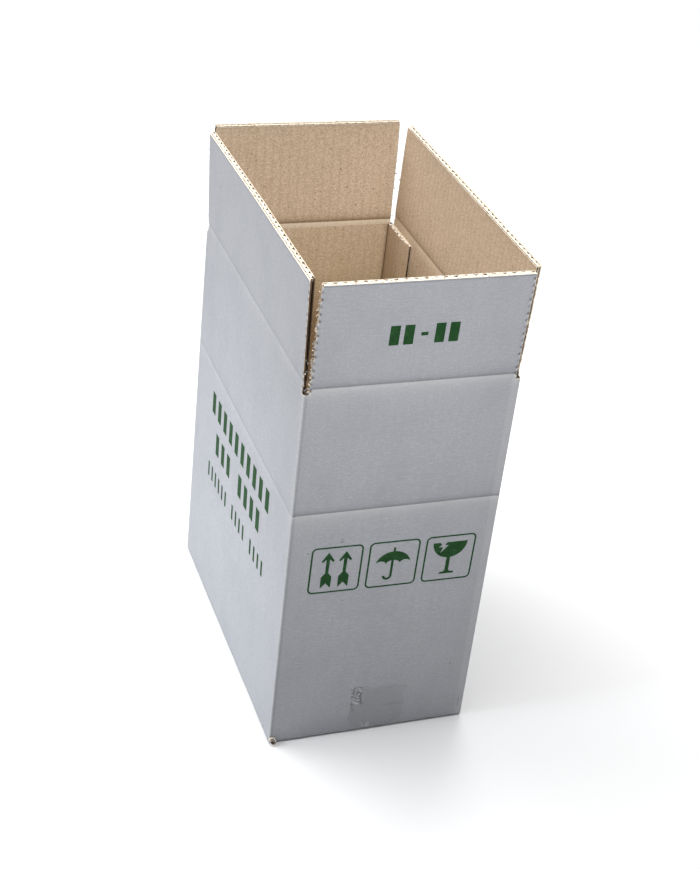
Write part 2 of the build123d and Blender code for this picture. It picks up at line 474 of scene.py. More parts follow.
def finish_kraft_liner():
    """Unbleached paper: a mottle, light and dark fibres, specks and flute stripes."""
    paper = Finish("kraft_liner", 0.78)
    cloud = paper.noise(60, detail=3)
    grain = paper.noise(950, (0.8, 1, 1), detail=3)
    fibre = paper.noise(1900, (0.4, 1, 1), detail=3)
    speck = paper.noise(300, detail=1)
    face = paper.tint(kraft_brown, kraft_dark, paper.band(cloud, 0.46, 0.72, 0.0, 0.35))
    face = paper.tint(face, kraft_dark, paper.band(grain, 0.52, 0.64, 0.0, 1.0))
    face = paper.tint(face, kraft_light, paper.band(grain, 0.48, 0.36, 0.0, 0.9))
    face = paper.tint(face, kraft_light, paper.band(fibre, 0.52, 0.72, 0.0, 0.5))
    face = paper.tint(face, kraft_dark, paper.band(paper.flutes(), 0.0, 0.4, 0.24, 0.0))
    face = paper.tint(face, kraft_speck, paper.band(speck, 0.71, 0.75, 0.0, 0.7))
    # Painted bounce light: the kraft turns golden lower on the blank, deep in the box
    deep = paper.band(paper.place_up_the_blank(), 0.37, 0.26, 0.0, 0.24)
    face = paper.tint(face, kraft_bounce_tint, deep)
    # Pale at cut edges, and painted highlight below creases
    face = paper.tint(face, edge_cream, paper.band(paper.wear, 0.0, 1.0))
    # Painted shade in the inner corners, along the glue lap's free side and above creases
    face = paper.tint(face, kraft_painted_shade, paper.band(paper.wear, 0.0, -1.0))
    paper.colour(face)
    rough = paper.relief(grain, 0.10 * mm)
    paper.relief(fibre, 0.05 * mm, rough)


def finish_medium():
    """The paper between the liners, painted darker than it is as shade for the flute channels, with a few
    pale streaks.
    """
    paper = Finish("medium_paper", 0.85)
    fibre = paper.noise(800, detail=4)
    streak = paper.noise(700, (1, 0.06, 1), detail=2)
    face = paper.tint(medium_brown, medium_dark, paper.band(fibre, 0.35, 0.65))
    paper.colour(paper.tint(face, medium_streak, paper.band(streak, 0.56, 0.66, 0.0, 0.8)))
    paper.relief(fibre, 0.05 * mm)


def finish_cut_edge():
    """Torn fibres: cream, shaded brown between them, with a few pits."""
    paper = Finish("cut_edge", 0.8)
    torn = paper.noise(650, detail=3)
    pit = paper.noise(480, detail=1)
    face = paper.tint(edge_cream, edge_shade, paper.band(torn, 0.50, 0.62, 0.0, 0.9))
    paper.colour(paper.tint(face, medium_brown, paper.band(pit, 0.66, 0.70, 0.0, 0.8)))
    paper.relief(torn, 0.2 * mm)


finish_kraft_liner()
finish_medium()
finish_cut_edge()

# %% [markdown]
# ## Board from three papers
#
# `board_sheets` lays a white liner, a medium and a kraft liner. The medium follows a wave that
# touches both liners. The knife that cuts a blank crushes its edge: the wave is pushed to one liner
# there, so a cut edge shows one row of dark openings beside that liner and a pale band beside the
# other. Only the last few millimetres matter, so a measure called `rim` is 1 at the edge and fades
# below it.

# %% The wave and the knife's teeth
rim_depth = 2.5 * mm
pressed_flat = 1.4 * mm
lip_depth = 1.0 * mm
lip_curl = 0.45 * mm
lip_burr = 0.9 * mm
kraft_burr = 0.25 * mm
tooth_pitch = 6.1 * mm
deep_bites = (1.6 * mm, 0.8 * mm)
no_bites = (0.0, 0.0)
wave_fullness = 1.4
print(f"a cut edge is crushed over {rim_depth / mm:.1f} mm")
print(f"the knife's teeth bite every {tooth_pitch / mm:.1f} mm")


def flute_wave(along):
    """The medium's wave: -1 where it touches the white liner, 1 where it touches the kraft one."""
    wave = np.cos(2 * math.pi * along / flute_pitch)
    return np.tanh(wave_fullness * wave) / math.tanh(wave_fullness)


def tooth_bite(height, seed):
    """How hard a tooth of the knife has bitten at a height, from 0 to 1."""
    tooth = height / tooth_pitch + 0.37 * seed
    strength = 0.62 + 0.38 * np.sin(2.4 * np.floor(tooth) + seed)
    return bump(tooth % 1.0 - 0.5, 0.17) * strength


# %% [markdown]
# Cut sides are ragged, because the slotting knife has teeth. Noise would make them fuzzy; a real edge
# has a clear bite once for each tooth, with plain stretches between. So a sheet's sides are trimmed
# by a formula that repeats with the tooth, with a strength that changes from tooth to tooth.

# %% The ragged cut


def ragged_cut(half, cut_height, seed, rise, narrowed, bites):
    """Trims a sheet's sides by the knife's teeth, and its open end by a rise and a small wander."""

    def trim(along, height):
        height = height + rise * smooth(1.0 - np.abs(height - cut_height) / rim_depth)
        bite = np.where(along < 0, *bites) * tooth_bite(height, seed + np.sign(along))
        bite = bite + 0.12 * mm * (1.0 + np.sin(height / (0.9 * mm) + seed))
        bite = bite + np.where(along < 0, *narrowed) * smooth(1.2 - height / (60 * mm))
        inward = half - np.abs(along)
        reach = np.minimum(half - inward, half - bite - 0.2 * inward)
        at_end = np.abs(height - rise - cut_height) < 0.01 * mm
        wander = 0.12 * mm * np.sin(along / (2.3 * mm) + seed) * np.sin(along / (5.1 * mm) - seed)
        return np.sign(along) * reach, height + np.where(at_end, wander, 0.0)

    return trim


# %% [markdown]
# The board itself is three slabs that share one place on the box. Each depth is a small function of
# the place along and the height, and they build on each other: the kraft liner lies one board behind
# the white one, and the medium fills what is between them. That keeps the papers from passing through
# each other wherever the board is crushed.

# %% Three papers of a cut board


def board_sheets(
    place,
    along,
    heights,
    outer,
    inner,
    cut_height,
    blank,
    seed,
    side_gap=0.5 * mm,
    thickness=None,
    side_paper="kraft_liner",
    rises=(0.0, 0.0),
    kraft_edge=0.25,
    crease_share=0.0,
    opening=0.58,
    open_side="kraft",
    narrowed=(0.0, 0.0),
    bites=deep_bites,
):
    """The three papers of a cut board whose flutes end, open, at the cut height.

    `rises` says how far the white liner and the kraft one go beyond it, where the cut slants.
    """
    half = max(abs(along[0]), abs(along[-1]))

    def from_cut(height):
        """How far below the cut edge a height lies."""
        return np.maximum((cut_height - height) * np.sign(cut_height), 0.0)

    def full(a):
        """The thickness of the board, which only the glue lap changes along its width."""
        return board + 0.0 * a if thickness is None else thickness(a)

    def looseness(a):
        """1 where the board has its full thickness, 0 where it is pressed flat."""
        return np.clip((full(a) - pressed_flat) / (board - pressed_flat), 0.0, 1.0)

    def rim(height):
        """1 at the cut edge, falling to 0 where the flutes are whole."""
        return smooth(1.0 - from_cut(height) / rim_depth)

    def lip(height):
        """The same for the last millimetre, where the papers curl and spread."""
        return smooth(1.0 - from_cut(height) / lip_depth)

    def torn(a, h):
        """The finish that shows on the inner face of a paper near a cut."""
        at_side = half - np.abs(a) < side_gap + 0.6 * mm
        at_end = np.abs(h - cut_height) < 0.6 * mm
        return np.where(at_end, "cut_edge", np.where(at_side, side_paper, "medium_paper"))

    def white_front(a, h):
        return -outer(a, h) - lip_curl * lip(h)

    def white_back(a, h):
        rough_lip = 1.0 + 0.22 * np.sin(a / (1.9 * mm) + seed) * np.sin(a / (4.7 * mm))
        return white_front(a, h) + liner + lip_burr * lip(h) * rough_lip * looseness(a)

    def kraft_back(a, h):
        return full(a) + inner(a, h) + 0.6 * lip_curl * lip(h) * looseness(a)

    def kraft_front(a, h):
        return kraft_back(a, h) - liner - kraft_burr * lip(h) * looseness(a)

    def wave_centre(a, h):
        """The middle of the medium: a wave between the liners, pushed to one of them at the rim."""
        away = 0.5 - 0.5 * flute_wave(a) if open_side == "kraft" else 0.5 + 0.5 * flute_wave(a)
        crushed = opening * away ** 3.0 * (1.0 + 0.25 * np.sin(a / (3.7 * mm) + seed))
        away = away + (crushed - away) * rim(h)
        share = 1.0 - away if open_side == "kraft" else away
        low = white_back(a, h) + medium / 2
        high = kraft_front(a, h) - medium / 2
        return low + np.maximum(high - low, 0.0) * share

    def wave_front(a, h):
        """The crushed medium fills the board beside the liner that has no openings, here the white one."""
        face = wave_centre(a, h) - medium / 2
        filled = 0.9 * lip(h) if open_side == "kraft" else 0.0
        return face - filled * np.maximum(face - white_back(a, h), 0.0)

    def wave_back(a, h):
        face = wave_centre(a, h) + medium / 2
        filled = 0.9 * lip(h) if open_side == "white" else 0.0
        return face + filled * np.maximum(kraft_front(a, h) - face, 0.0)

    def edge_wear_and_painted_light(a, h):
        """Pale where a tooth has torn the paper and at the cut lip; painted shade beside each bite and in
        the line under the lip.
        """
        inward = half - np.abs(a)
        at_side = seed + np.sign(a)
        torn_bits = 1.5 * smooth(1.0 - inward / (2.2 * mm)) * tooth_bite(h + 1.7 * mm, at_side)
        # Painted shade beside each bite
        torn_bits = torn_bits - 2.2 * bump(inward - 1.0 * mm, 1.0 * mm) * tooth_bite(h - 0.2 * mm, at_side)
        # Painted shadow under the curled lip
        under_lip = bump(from_cut(h) - 1.3 * mm, 0.45 * mm)
        at_lip = smooth(1.0 - from_cut(h) / (0.5 * mm))
        # Painted shade and highlight of the crease on the white face
        line = crease_share * painted_crease_light(h)
        return np.clip(torn_bits + at_lip - 0.45 * under_lip + line, -1.0, 1.0)

    def kraft_wear_and_painted_light(a, h):
        patchy = 1.0 - 0.6 * np.abs(np.sin(h / (2.6 * mm)))
        # At the sides: pale cut board on the flaps, painted shadow on the glue lap, whose edge share is
        # below 0
        at_side = smooth(1.0 - (half - np.abs(a)) / (1.2 * mm)) * patchy
        at_lip = 0.9 * smooth(1.0 - from_cut(h) / (0.6 * mm))
        # Painted shade and highlight of the crease on the kraft face
        line = 1.3 * crease_share * painted_crease_light(h)
        return np.clip(at_lip + kraft_edge * at_side + line, -1.0, 1.0)

    white_trim = ragged_cut(half, cut_height, seed, rises[0], narrowed, bites)
    kraft_trim = ragged_cut(half, cut_height, seed, rises[1], narrowed, bites)
    wave_trim = ragged_cut(half, cut_height, seed, 0.5 * sum(rises), narrowed, no_bites)
    fine_along = np.arange(along[0] + side_gap, along[-1] - side_gap, flute_pitch / 10)
    from_root = heights - heights[0] if cut_height > 0 else heights[-1] - heights
    hidden = (from_root > 18 * mm) & (from_cut(heights) > 4 * mm)
    every_eighth = np.arange(len(heights)) % 8 == 0
    wave_rows = heights[~hidden | every_eighth]
    white = ("white_liner", "medium_paper", "cut_edge", "cut_edge")
    brown = ("medium_paper", "kraft_liner", "cut_edge", side_paper)
    wave = ("medium_paper", "medium_paper", "cut_edge", side_paper)
    return [
        slab(place, along, heights, white_front, white_back, white, blank, white_trim, torn, edge_wear_and_painted_light),
        slab(place, along, heights, kraft_front, kraft_back, brown, blank, kraft_trim, torn, kraft_wear_and_painted_light),
        slab(place, fine_along, wave_rows, wave_front, wave_back, wave, blank, wave_trim, torn),
    ]


# %% [markdown]
# Where the teeth tear the paper, small curls of it stand out of the side. They are a few millimetres
# long at most, but they catch the light. Each is one more small slab, rolled by a random radius and
# turned by a random angle. The seed is fixed, so the box looks the same every time.

# %% Torn curls
curl_papers = ("cut_edge", "cut_edge", "white_liner", "medium_paper")


def torn_curls(place, blank, edge, span, count, seed):
    """Curls that stand out of a cut side. The edge is their place along it, the span their heights."""
    chance = random.Random(seed)
    curls = []
    for _ in range(count):
        width = chance.uniform(0.6, 1.5) * mm
        radius = chance.uniform(0.35, 0.8) * mm
        length = radius * chance.uniform(1.6, 3.4)
        turn = chance.uniform(0, 2 * math.pi)
        root = (edge, chance.uniform(0.3, 3.3) * mm, span[0] + (span[1] - span[0]) * chance.random() ** 1.3)

        def curl(v, depth, u, radius=radius, turn=turn, root=root):
            angle = u / radius
            forth = (radius - depth) * np.sin(angle)
            out = radius - (radius - depth) * np.cos(angle) - 0.2 * mm
            along = root[0] + np.sign(edge) * out
            deep = root[1] + forth * math.cos(turn) - v * math.sin(turn)
            high = root[2] + forth * math.sin(turn) + v * math.cos(turn)
            return place(along, deep, high)

        sheet = slab(
            curl,
            np.linspace(-width / 2, width / 2, 3),
            np.linspace(0.0, length, 6),
            lambda v, u: 0.0 * v - 0.06 * mm,
            lambda v, u: 0.0 * v + 0.06 * mm,
            (chance.choice(curl_papers),) * 4,
            lambda v: blank(root[0]) + v,
        )
        curls.append(sheet)
    return curls


def flute_columns(start, end):
    """Columns for a sheet: four for each wave for its washboard, a few close to its sides for the cut."""
    step = flute_pitch / 4
    near = np.array([0.0, 0.45, 1.0, 1.8]) * mm
    margin = 2.4 * mm
    first = math.ceil((start + margin) / step)
    last = math.floor((end - margin) / step)
    return np.concatenate([start + near, np.arange(first, last + 1) * step, end - near[::-1]])


# %% [markdown]
# ## The top flaps
#
# A flap is the end of its panel, bent outwards at the crease. The real one bends over a few
# millimetres of crushed board, so the flap's mesh starts a little below the crease and bends there.
# Each flap's lean is read from its CAD box, by asking how far its top edge reaches out and how high it
# stands.

# %% Lean of each flap
bend_span = 4.0 * mm


def flap_lean(side):
    """The angle by which a flap leans outwards from upright."""
    low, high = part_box(f"{side}_flap")
    facing = sides[side]
    axis = 0 if facing["out"][0] else 1
    reach = max(-low[axis], high[axis]) - facing["reach"]
    rise = high.z - facing["crease"]
    lean = 0.0
    for _ in range(4):
        lean = math.atan2(reach, rise - board * math.sin(lean))
    length = reach / math.sin(lean)
    return lean, length


flaps = {side: flap_lean(side) for side in side_names}
flap_twist = {"back": 0.0, "left": math.radians(-1.2), "front": 0.0, "right": 0.0}
for side, (lean, length) in flaps.items():
    print(f"{side} flap leans {math.degrees(lean):.1f} degrees and is {length / mm:.1f} mm long")


def flap_fold(side):
    """How a flap's board is bent: upright below the crease, turned outwards by the lean above it."""
    lean = flaps[side][0]

    def place(along, depth, height):
        twisted = lean + flap_twist[side] * np.minimum(along / sides[side]["half"], 0.0)
        bend = twisted * smooth(height / bend_span + 0.5)
        outward = height * np.sin(bend) - depth * np.cos(bend)
        up = height * np.cos(bend) + depth * np.sin(bend)
        plan = plan_point(side, along, -outward)
        return np.column_stack([plan, sides[side]["crease"] + up])

    return place


# %% [markdown]
# Each flap came off the knives in its own way. A slanting cut leaves one liner longer than the other,
# a blunt one tears the sides, and the crushed flutes stay more open on one flap than on the next.
# These facts are kept as values, so that one function can build all four flaps.

# %% How each flap is cut
# In the words of `board_sheets`. The slot between the back and the right flap is wider near its floor,
# and has almost no bites.
# A flap's crease share sets how strongly its crease gets painted shade and highlight.
flap_cuts = {
    "back": {
        "rises": (2.0 * mm, 0.0),
        "side_paper": "medium_paper",
        "opening": 0.22,
        "narrowed": (1.5 * mm, 0.0),
        "bites": (0.3 * mm, 0.8 * mm),
        "crease_share": 0.55,
    },
    "left": {"rises": (0.0, 1.6 * mm), "side_paper": "medium_paper", "crease_share": 0.20},
    "front": {"rises": (0.0, 0.3 * mm), "opening": 0.72, "crease_share": 0.55},
    "right": {
        "rises": (1.8 * mm, 0.0),
        "side_paper": "cut_edge",
        "opening": 0.50,
        "open_side": "white",
        "narrowed": (0.0, 1.3 * mm),
        "bites": (1.6 * mm, 0.2 * mm),
        "crease_share": 0.20,
    },
}
# For each flap: a side, -1 or 1, the lowest and highest place of its curls, and their number
curl_places = {
    "back": [(1, -3 * mm, 60 * mm, 16), (-1, -3 * mm, 60 * mm, 12)],
    "left": [(1, -7 * mm, 20 * mm, 12), (-1, -7 * mm, 60 * mm, 10)],
    "front": [(-1, -4 * mm, 30 * mm, 70), (-1, 20 * mm, 84 * mm, 50), (1, -4 * mm, 84 * mm, 40)],
    "right": [(-1, -7 * mm, 60 * mm, 14), (1, -7 * mm, 60 * mm, 10)],
}
# The middle of each panel along the blank, counted from the fold beside the glue lap
blank_middle = {
    "back": half_width,
    "left": 2 * half_width + half_length,
    "front": 3 * half_width + 2 * half_length,
    "right": 4 * half_width + 3 * half_length,
}
for side, places in curl_places.items():
    print(f"{side} flap: {sum(place[3] for place in places)} torn curls")

# %% [markdown]
# The rows of a flap's grid are close together where the board bends, at the crease and at the crushed
# top edge, and wide apart on the plain sheet between them.


def flap_rows(bottom, top, step):
    """Heights of a flap's rows, from the slot floor to the cut edge."""
    near_crease = np.arange(bottom, 8 * mm, 0.8 * mm)
    sheet = np.arange(8 * mm, top - rim_depth, step)
    edge = top - rim_depth * np.array([1.0, 0.8, 0.6, 0.4, 0.2, 0.08, 0.0])
    return np.concatenate([near_crease, sheet, edge])


def build_flap(side, row_step, seed, side_gap):
    """A top flap of three papers, with its stretch of crease. The medium ends a gap short of the sides."""
    facing = sides[side]
    half = facing["half"] - slot_half_width
    bottom = slot_floor - facing["crease"]
    length = flaps[side][1]
    fold = flap_fold(side)

    def on_blank(along):
        return blank_middle[side] + along

    sheets = board_sheets(
        fold,
        flute_columns(-half, half),
        flap_rows(bottom, length, row_step),
        lambda a, h: outer_relief(side, a, h),
        lambda a, h: inner_relief(side, a, h),
        length,
        on_blank,
        seed,
        side_gap,
        **flap_cuts[side],
    )
    for number, (edge, low, high, count) in enumerate(curl_places[side]):
        sheets += torn_curls(fold, on_blank, edge * half, (low, high), count, seed * 10 + number)
    for sheet in sheets:
        sheet["blank"][:, 1] += facing["crease"]
    piece = make_piece(f"{side}_flap_board", sheets)
    foot = plan_point(side, 0.0, 0.0)
    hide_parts(f"{side}_flap")
    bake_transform(piece)


for seed, side in enumerate(side_names):
    long_side = side in ("left", "right")
    build_flap(side, 2.0 * mm if long_side else 1.0 * mm, seed + 1, 1.2 * mm if long_side else 0.3 * mm)

# %% [markdown]
# ## The panels
#
# The four panels are one strip of board bent round four folds, so they are built as one ring. A
# column of the ring knows its point on the outer face and its point on the inner face. On a panel
# those two face each other; at a fold the outer one goes round a small arc and the inner one stays in
# the corner, which is how the inside of a fold crushes. At the back right corner the strip ends in a
# raw edge that butts against the back panel's fold.

# %% Columns of the ring
fold_steps = 6
raw_end_gap = 2.5 * mm
inner_reach = np.array([half_width - board, half_length - board])


def ring_columns(step_share):
    """Plan points of the outer and inner face, with the side, the place along it and on the blank."""
    rows = []
    lap_fold = half_width - board

    def add(outer, inner, side, along, on_blank):
        rows.append((*outer, *inner, side_names.index(side), along, on_blank))

    def inner_corner(side_end):
        return [math.copysign(reach, c) for reach, c in zip(inner_reach, side_end)]

    def arc(centre, start_angle, inner, side, along, on_blank):
        for k in range(1, fold_steps):
            angle = start_angle + math.pi / 2 * k / fold_steps
            x = centre[0] + fold_radius * math.cos(angle)
            y = centre[1] + fold_radius * math.sin(angle)
            add((x, y), inner, side, along, on_blank + fold_radius * (k / fold_steps - 0.5))

    lap_inner = (lap_fold - board, half_length - board)
    for y in (half_length - board, half_length - fold_radius):
        add((lap_fold, y), lap_inner, "back", -half_width, 0.0)
    arc((lap_fold - fold_radius, half_length - fold_radius), 0.0, lap_inner, "back", -half_width, 0.0)
    for number, side in enumerate(side_names):
        half = sides[side]["half"]
        start = -half + fold_radius + (board if side == "back" else 0.0)
        end = half - raw_end_gap if side == "right" else half - fold_radius
        even = np.arange(start, end, flute_pitch / step_share)
        for along in flute_columns(start, end) if step_share == 4 else even:
            outer = plan_point(side, along, 0.0)
            inner = np.clip(plan_point(side, along, board), -inner_reach, inner_reach)
            if side == "back":
                inner[0] = min(inner[0], lap_inner[0])
            add(outer, inner, side, along, blank_middle[side] + along)
        if side != "right":
            corner = plan_point(side, half, 0.0)
            centre = [c - math.copysign(fold_radius, c) for c in corner]
            start_angle = (number + 1) * math.pi / 2
            arc(centre, start_angle, inner_corner(corner), side, half, blank_middle[side] + half)
    return np.array(rows)


def read_ring(columns, column):
    """The numbers of the sides of some columns, and their places along the side and on the blank."""
    row = columns[column.astype(int)]
    return row[:, 4].astype(int), row[:, 5], row[:, 6]


ring = ring_columns(4)
print(f"the ring has {len(ring)} columns")

# %% [markdown]
# At the bottom the outer liner rolls under on a small radius. A height below that radius is read as a
# distance along the roll, so one number still says where a row lies: on the panel, on the curve or on
# the narrow strip beneath.

# %% Fold the ring
floor_gap = 0.1 * mm
roll_end = bottom_radius * (1 - math.pi / 2)


def ring_fold(columns):
    """How a row of the strip is folded round the box and rolled under at the bottom."""

    def place(column, depth, height):
        row = columns[column.astype(int)]
        upright = height >= bottom_radius
        turn = np.clip((bottom_radius - height) / bottom_radius, 0.0, math.pi / 2)
        beneath = np.maximum(0.0, roll_end - height)
        rolled_in = bottom_radius - (bottom_radius - depth) * np.cos(turn) + beneath
        rolled_down = bottom_radius - (bottom_radius - depth) * np.sin(turn)
        inward = np.where(upright, depth, rolled_in)
        z = np.where(upright, height, rolled_down)
        plan = row[:, 0:2] + (row[:, 2:4] - row[:, 0:2]) * (inward / board)[:, None]
        return np.column_stack([plan, np.maximum(z, floor_gap)])

    return place


def on_each_side(relief, columns):
    """A face's relief for the columns of a ring, each on its own side."""

    def value(column, height):
        numbers, along, _ = read_ring(columns, column)
        result = np.zeros(len(along))
        for number, side in enumerate(side_names):
            on_side = numbers == number
            level = height[on_side] - sides[side]["crease"]
            result[on_side] = relief(side, along[on_side], level)
        return result

    return value


# %% [markdown]
# Light and shade are painted on the panels. Over a fold the liner gets a painted highlight, beside
# the front's left fold it gets painted shade, every crease gets a painted dark line above and a light
# one below, the inner corners get painted shade, and the white face grows darker towards the bottom.
# An attribute carries this from the mesh to the finishes: above 0 a place is pale, below 0 it is dark.

# %% Wear of the panels
side_halves = np.array([sides[side]["half"] for side in side_names])
side_creases = np.array([sides[side]["crease"] for side in side_names])
side_middles = np.array([blank_middle[side] for side in side_names])
back_number = side_names.index("back")
left_number = side_names.index("left")
front_number = side_names.index("front")
print(f"side widths along the blank: {[round(2 * half / mm) for half in side_halves.tolist()]} mm")


def panel_light_and_wear(column, height):
    """Painted highlight over the folds, painted shade beside the front's left fold, darker towards the
    bottom, the creases' painted light, and pale cut board at the slot floors.
    """
    number, along, on_blank = read_ring(ring, column)
    on_front = number == front_number
    far = along > 0
    beside = side_halves[number] - np.abs(along)
    past_fold = on_blank - side_middles[number] - side_halves[number]
    # Painted highlight over the folds, and on the front beside its right fold
    rounding = bump(beside - 0.3 * mm, 0.6 * mm) * (past_fold < 0.1 * mm)
    pale = np.where(on_front, 0.0, np.where((number == left_number) & far, 0.5, 0.4)) * rounding
    pale = pale + np.where(on_front & far, 0.16, 0.0) * smooth(3.0 - beside / (3.0 * mm))
    # Painted shade on the front beside its left fold
    dark = np.where(on_front & ~far, 0.30, 0.0) * bump(beside - 1.6 * mm, 1.7 * mm)
    # Darker towards the bottom
    bottom = 0.26 * smooth(1.0 - (height - 0.5 * mm) / (3.5 * mm))
    short_side = (number == back_number) | on_front
    share = np.where(short_side, 0.55, 0.20)
    # Painted shade and highlight at the second crease and at the top crease
    line = -share * (painted_crease_light(height - second_crease) + painted_crease_light(height - side_creases[number]))
    at_slot = beside < slot_half_width + 1 * mm
    slot_lip = 0.5 * smooth(1.0 - (slot_floor - height) / (1.0 * mm)) * at_slot
    return np.clip(pale + slot_lip - dark - bottom - line, -1.0, 1.0)


def inner_painted_shade(column, height):
    """Painted shade on the kraft face in the folds' inner corners, a painted light and dark line at the
    second crease, and a little darker lower down.
    """
    number, along, _ = read_ring(ring, column)
    at_lap = (number == back_number) & (along < 0)
    beside = side_halves[number] - np.abs(along)
    corner = bump(beside - np.where(at_lap, 2.0, 1.0) * board, 1.5 * mm)
    from_second = height - second_crease
    line = 0.2 * bump(from_second, 1.5 * mm) - 0.2 * bump(from_second - 3 * mm, 1.8 * mm)
    return line - 0.98 * corner - 0.05 * smooth((slot_floor - height) / (60 * mm))


# %% [markdown]
# Like the flaps, the panels have their rows close together where the shape changes: in the roll at
# the bottom, at the second crease and below the slot floors. The kraft liner starts where the bottom
# flaps hide it, so it needs no roll.

# %% Build the liners of the panels
near_line = 9 * mm
fine_line = 2 * mm
plain_step = 11 * mm


def rows_between(*stops):
    """Heights from a list of (start, end, step), each stretch without its own end."""
    return np.concatenate([np.arange(start, end, step) for start, end, step in stops])


def panel_rows():
    """Heights of the rows of the white liner and of the kraft one."""
    crease_low = second_crease - near_line
    crease_high = second_crease + near_line
    upper = rows_between(
        (crease_low, second_crease - fine_line, 1.4 * mm),
        (second_crease - fine_line, second_crease + fine_line, 0.4 * mm),
        (second_crease + fine_line, crease_high, 1.4 * mm),
        (crease_high, slot_floor - 24 * mm, plain_step),
        (slot_floor - 24 * mm, slot_floor - near_line, 3 * mm),
        (slot_floor - near_line, slot_floor, 1.2 * mm),
    )
    upper = np.append(upper, slot_floor)
    roll = np.append(roll_end - 0.8 * mm, np.linspace(roll_end, bottom_radius, 7))
    lower = rows_between((bottom_radius + 5 * mm, crease_low, plain_step))
    return np.concatenate([roll, lower, upper]), np.concatenate([[board - liner], lower[::2], upper])


def stand_for_body(piece):
    """Board of the folded body: it takes the body's place and stays with the box."""
    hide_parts("box_body")
    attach(piece, "box")


def build_panels():
    """The white and the kraft liner of the four panels."""
    place = ring_fold(ring)
    outer = on_each_side(outer_relief, ring)
    inner = on_each_side(inner_relief, ring)
    white_rows, kraft_rows = panel_rows()
    columns = np.arange(len(ring))

    def on_blank(column):
        return read_ring(ring, column)[2]

    white = slab(
        place,
        columns,
        white_rows,
        lambda c, h: -outer(c, h),
        lambda c, h: liner - outer(c, h),
        ("white_liner", "medium_paper", "cut_edge", "cut_edge"),
        on_blank,
        wear=panel_light_and_wear,
    )
    kraft = slab(
        place,
        columns,
        kraft_rows,
        lambda c, h: board - liner + inner(c, h),
        lambda c, h: board + inner(c, h),
        ("medium_paper", "kraft_liner", "cut_edge", "kraft_liner"),
        on_blank,
        wear=inner_painted_shade,
    )
    for name, sheet in (("panels_white_liner", white), ("panels_kraft_liner", kraft)):
        stand_for_body(make_piece(name, [sheet]))


build_panels()

# %% [markdown]
# The slots between the flaps end a little below the creases, in a punched floor across the fold.
# There the medium shows between the two liners, so a short stretch of it is laid round each corner
# and up the raw end of the right panel.

# %% Medium at the slot floors and the raw end


def build_corner_medium():
    """The waved medium where the panels' board is cut open: four slot floors and one raw end."""
    fine = ring_columns(10)
    place = ring_fold(fine)
    number, along, on_blank = read_ring(fine, np.arange(len(fine)))
    at_corner = side_halves[number] - np.abs(along) < slot_half_width + 3 * mm
    corner_columns = np.arange(len(fine))[at_corner]
    runs = np.split(corner_columns, np.where(np.diff(corner_columns) > 1)[0] + 1)

    def centre(column, height):
        wave = flute_wave(on_blank[column.astype(int)])
        return board / 2 + (board / 2 - liner - medium / 2) * wave

    def medium_slab(run, rows):
        return slab(
            place,
            run,
            rows,
            lambda c, h: centre(c, h) - medium / 2,
            lambda c, h: centre(c, h) + medium / 2,
            ("medium_paper", "medium_paper", "cut_edge", "cut_edge"),
            lambda column: on_blank[column.astype(int)],
        )

    top_row = slot_floor - 0.7 * mm
    slot_rows = np.linspace(slot_floor - 14 * mm, top_row, 4)
    end_rows = np.linspace(5 * mm, top_row, 24)
    sheets = [medium_slab(run, slot_rows) for run in runs[:-1]]
    sheets.append(medium_slab(runs[-1], end_rows))
    stand_for_body(make_piece("slot_floor_medium", sheets))


build_corner_medium()

# %% [markdown]
# ## Glue lap and bottom flaps
#
# The lap is a strip of the same board, folded in from the back panel and glued to the inside of the
# right one. From above, its cut top edge shows the flutes. The bottom flaps are board too: the short
# pair lies inside and shows its kraft face, and the long pair under it carries the white face that
# stands on the floor. They are taped shut, so they ride on the box.

# %% Build the glue lap
lap_length = 50 * mm
lap_low = 8.4 * mm
lap_high = short_crease - board - 0.5 * mm
lap_edge_thickness = 1.6 * mm
lap_crush_width = 18 * mm


def small_relief(amplitude):
    """A washboard and a slow wander for a small flat sheet."""

    def relief(along, height):
        return amplitude * np.cos(2 * math.pi * along / flute_pitch) + 1.5 * unevenness(along, height)

    return relief


def build_glue_lap():
    """The lap, its free side towards the front, pressed thin there, and its flutes open at the top."""
    middle = half_length - board - lap_length / 2
    glued_face = half_width - board

    def place(along, depth, height):
        return np.column_stack([glued_face - 0.05 * mm - depth, middle + along, height])

    def thickness(along):
        pressed_share = np.clip(1.0 - (along + lap_length / 2) / lap_crush_width, 0.0, 1.0)
        return board - (board - lap_edge_thickness) * pressed_share

    sheet_rows = np.arange(lap_low, lap_high - rim_depth, 5 * mm)
    edge_rows = lap_high - rim_depth * np.linspace(1, 0, 7)
    sheets = board_sheets(
        place,
        flute_columns(-lap_length / 2, lap_length / 2),
        np.concatenate([sheet_rows, edge_rows]),
        lambda a, h: 0.0 * a,
        small_relief(washboard_inside),
        lap_high,
        lambda a: a - lap_length / 2,
        seed=7,
        side_gap=0.9 * mm,
        thickness=thickness,
        side_paper="medium_paper",
        # Painted shadow along the lap's pressed free side
        kraft_edge=-1.2,
        bites=no_bites,
    )
    stand_for_body(make_piece("glue_lap_board", sheets))


build_glue_lap()

# %% Build the bottom flaps
seam_half = 4 * mm
short_flap_reach = flaps["front"][1]


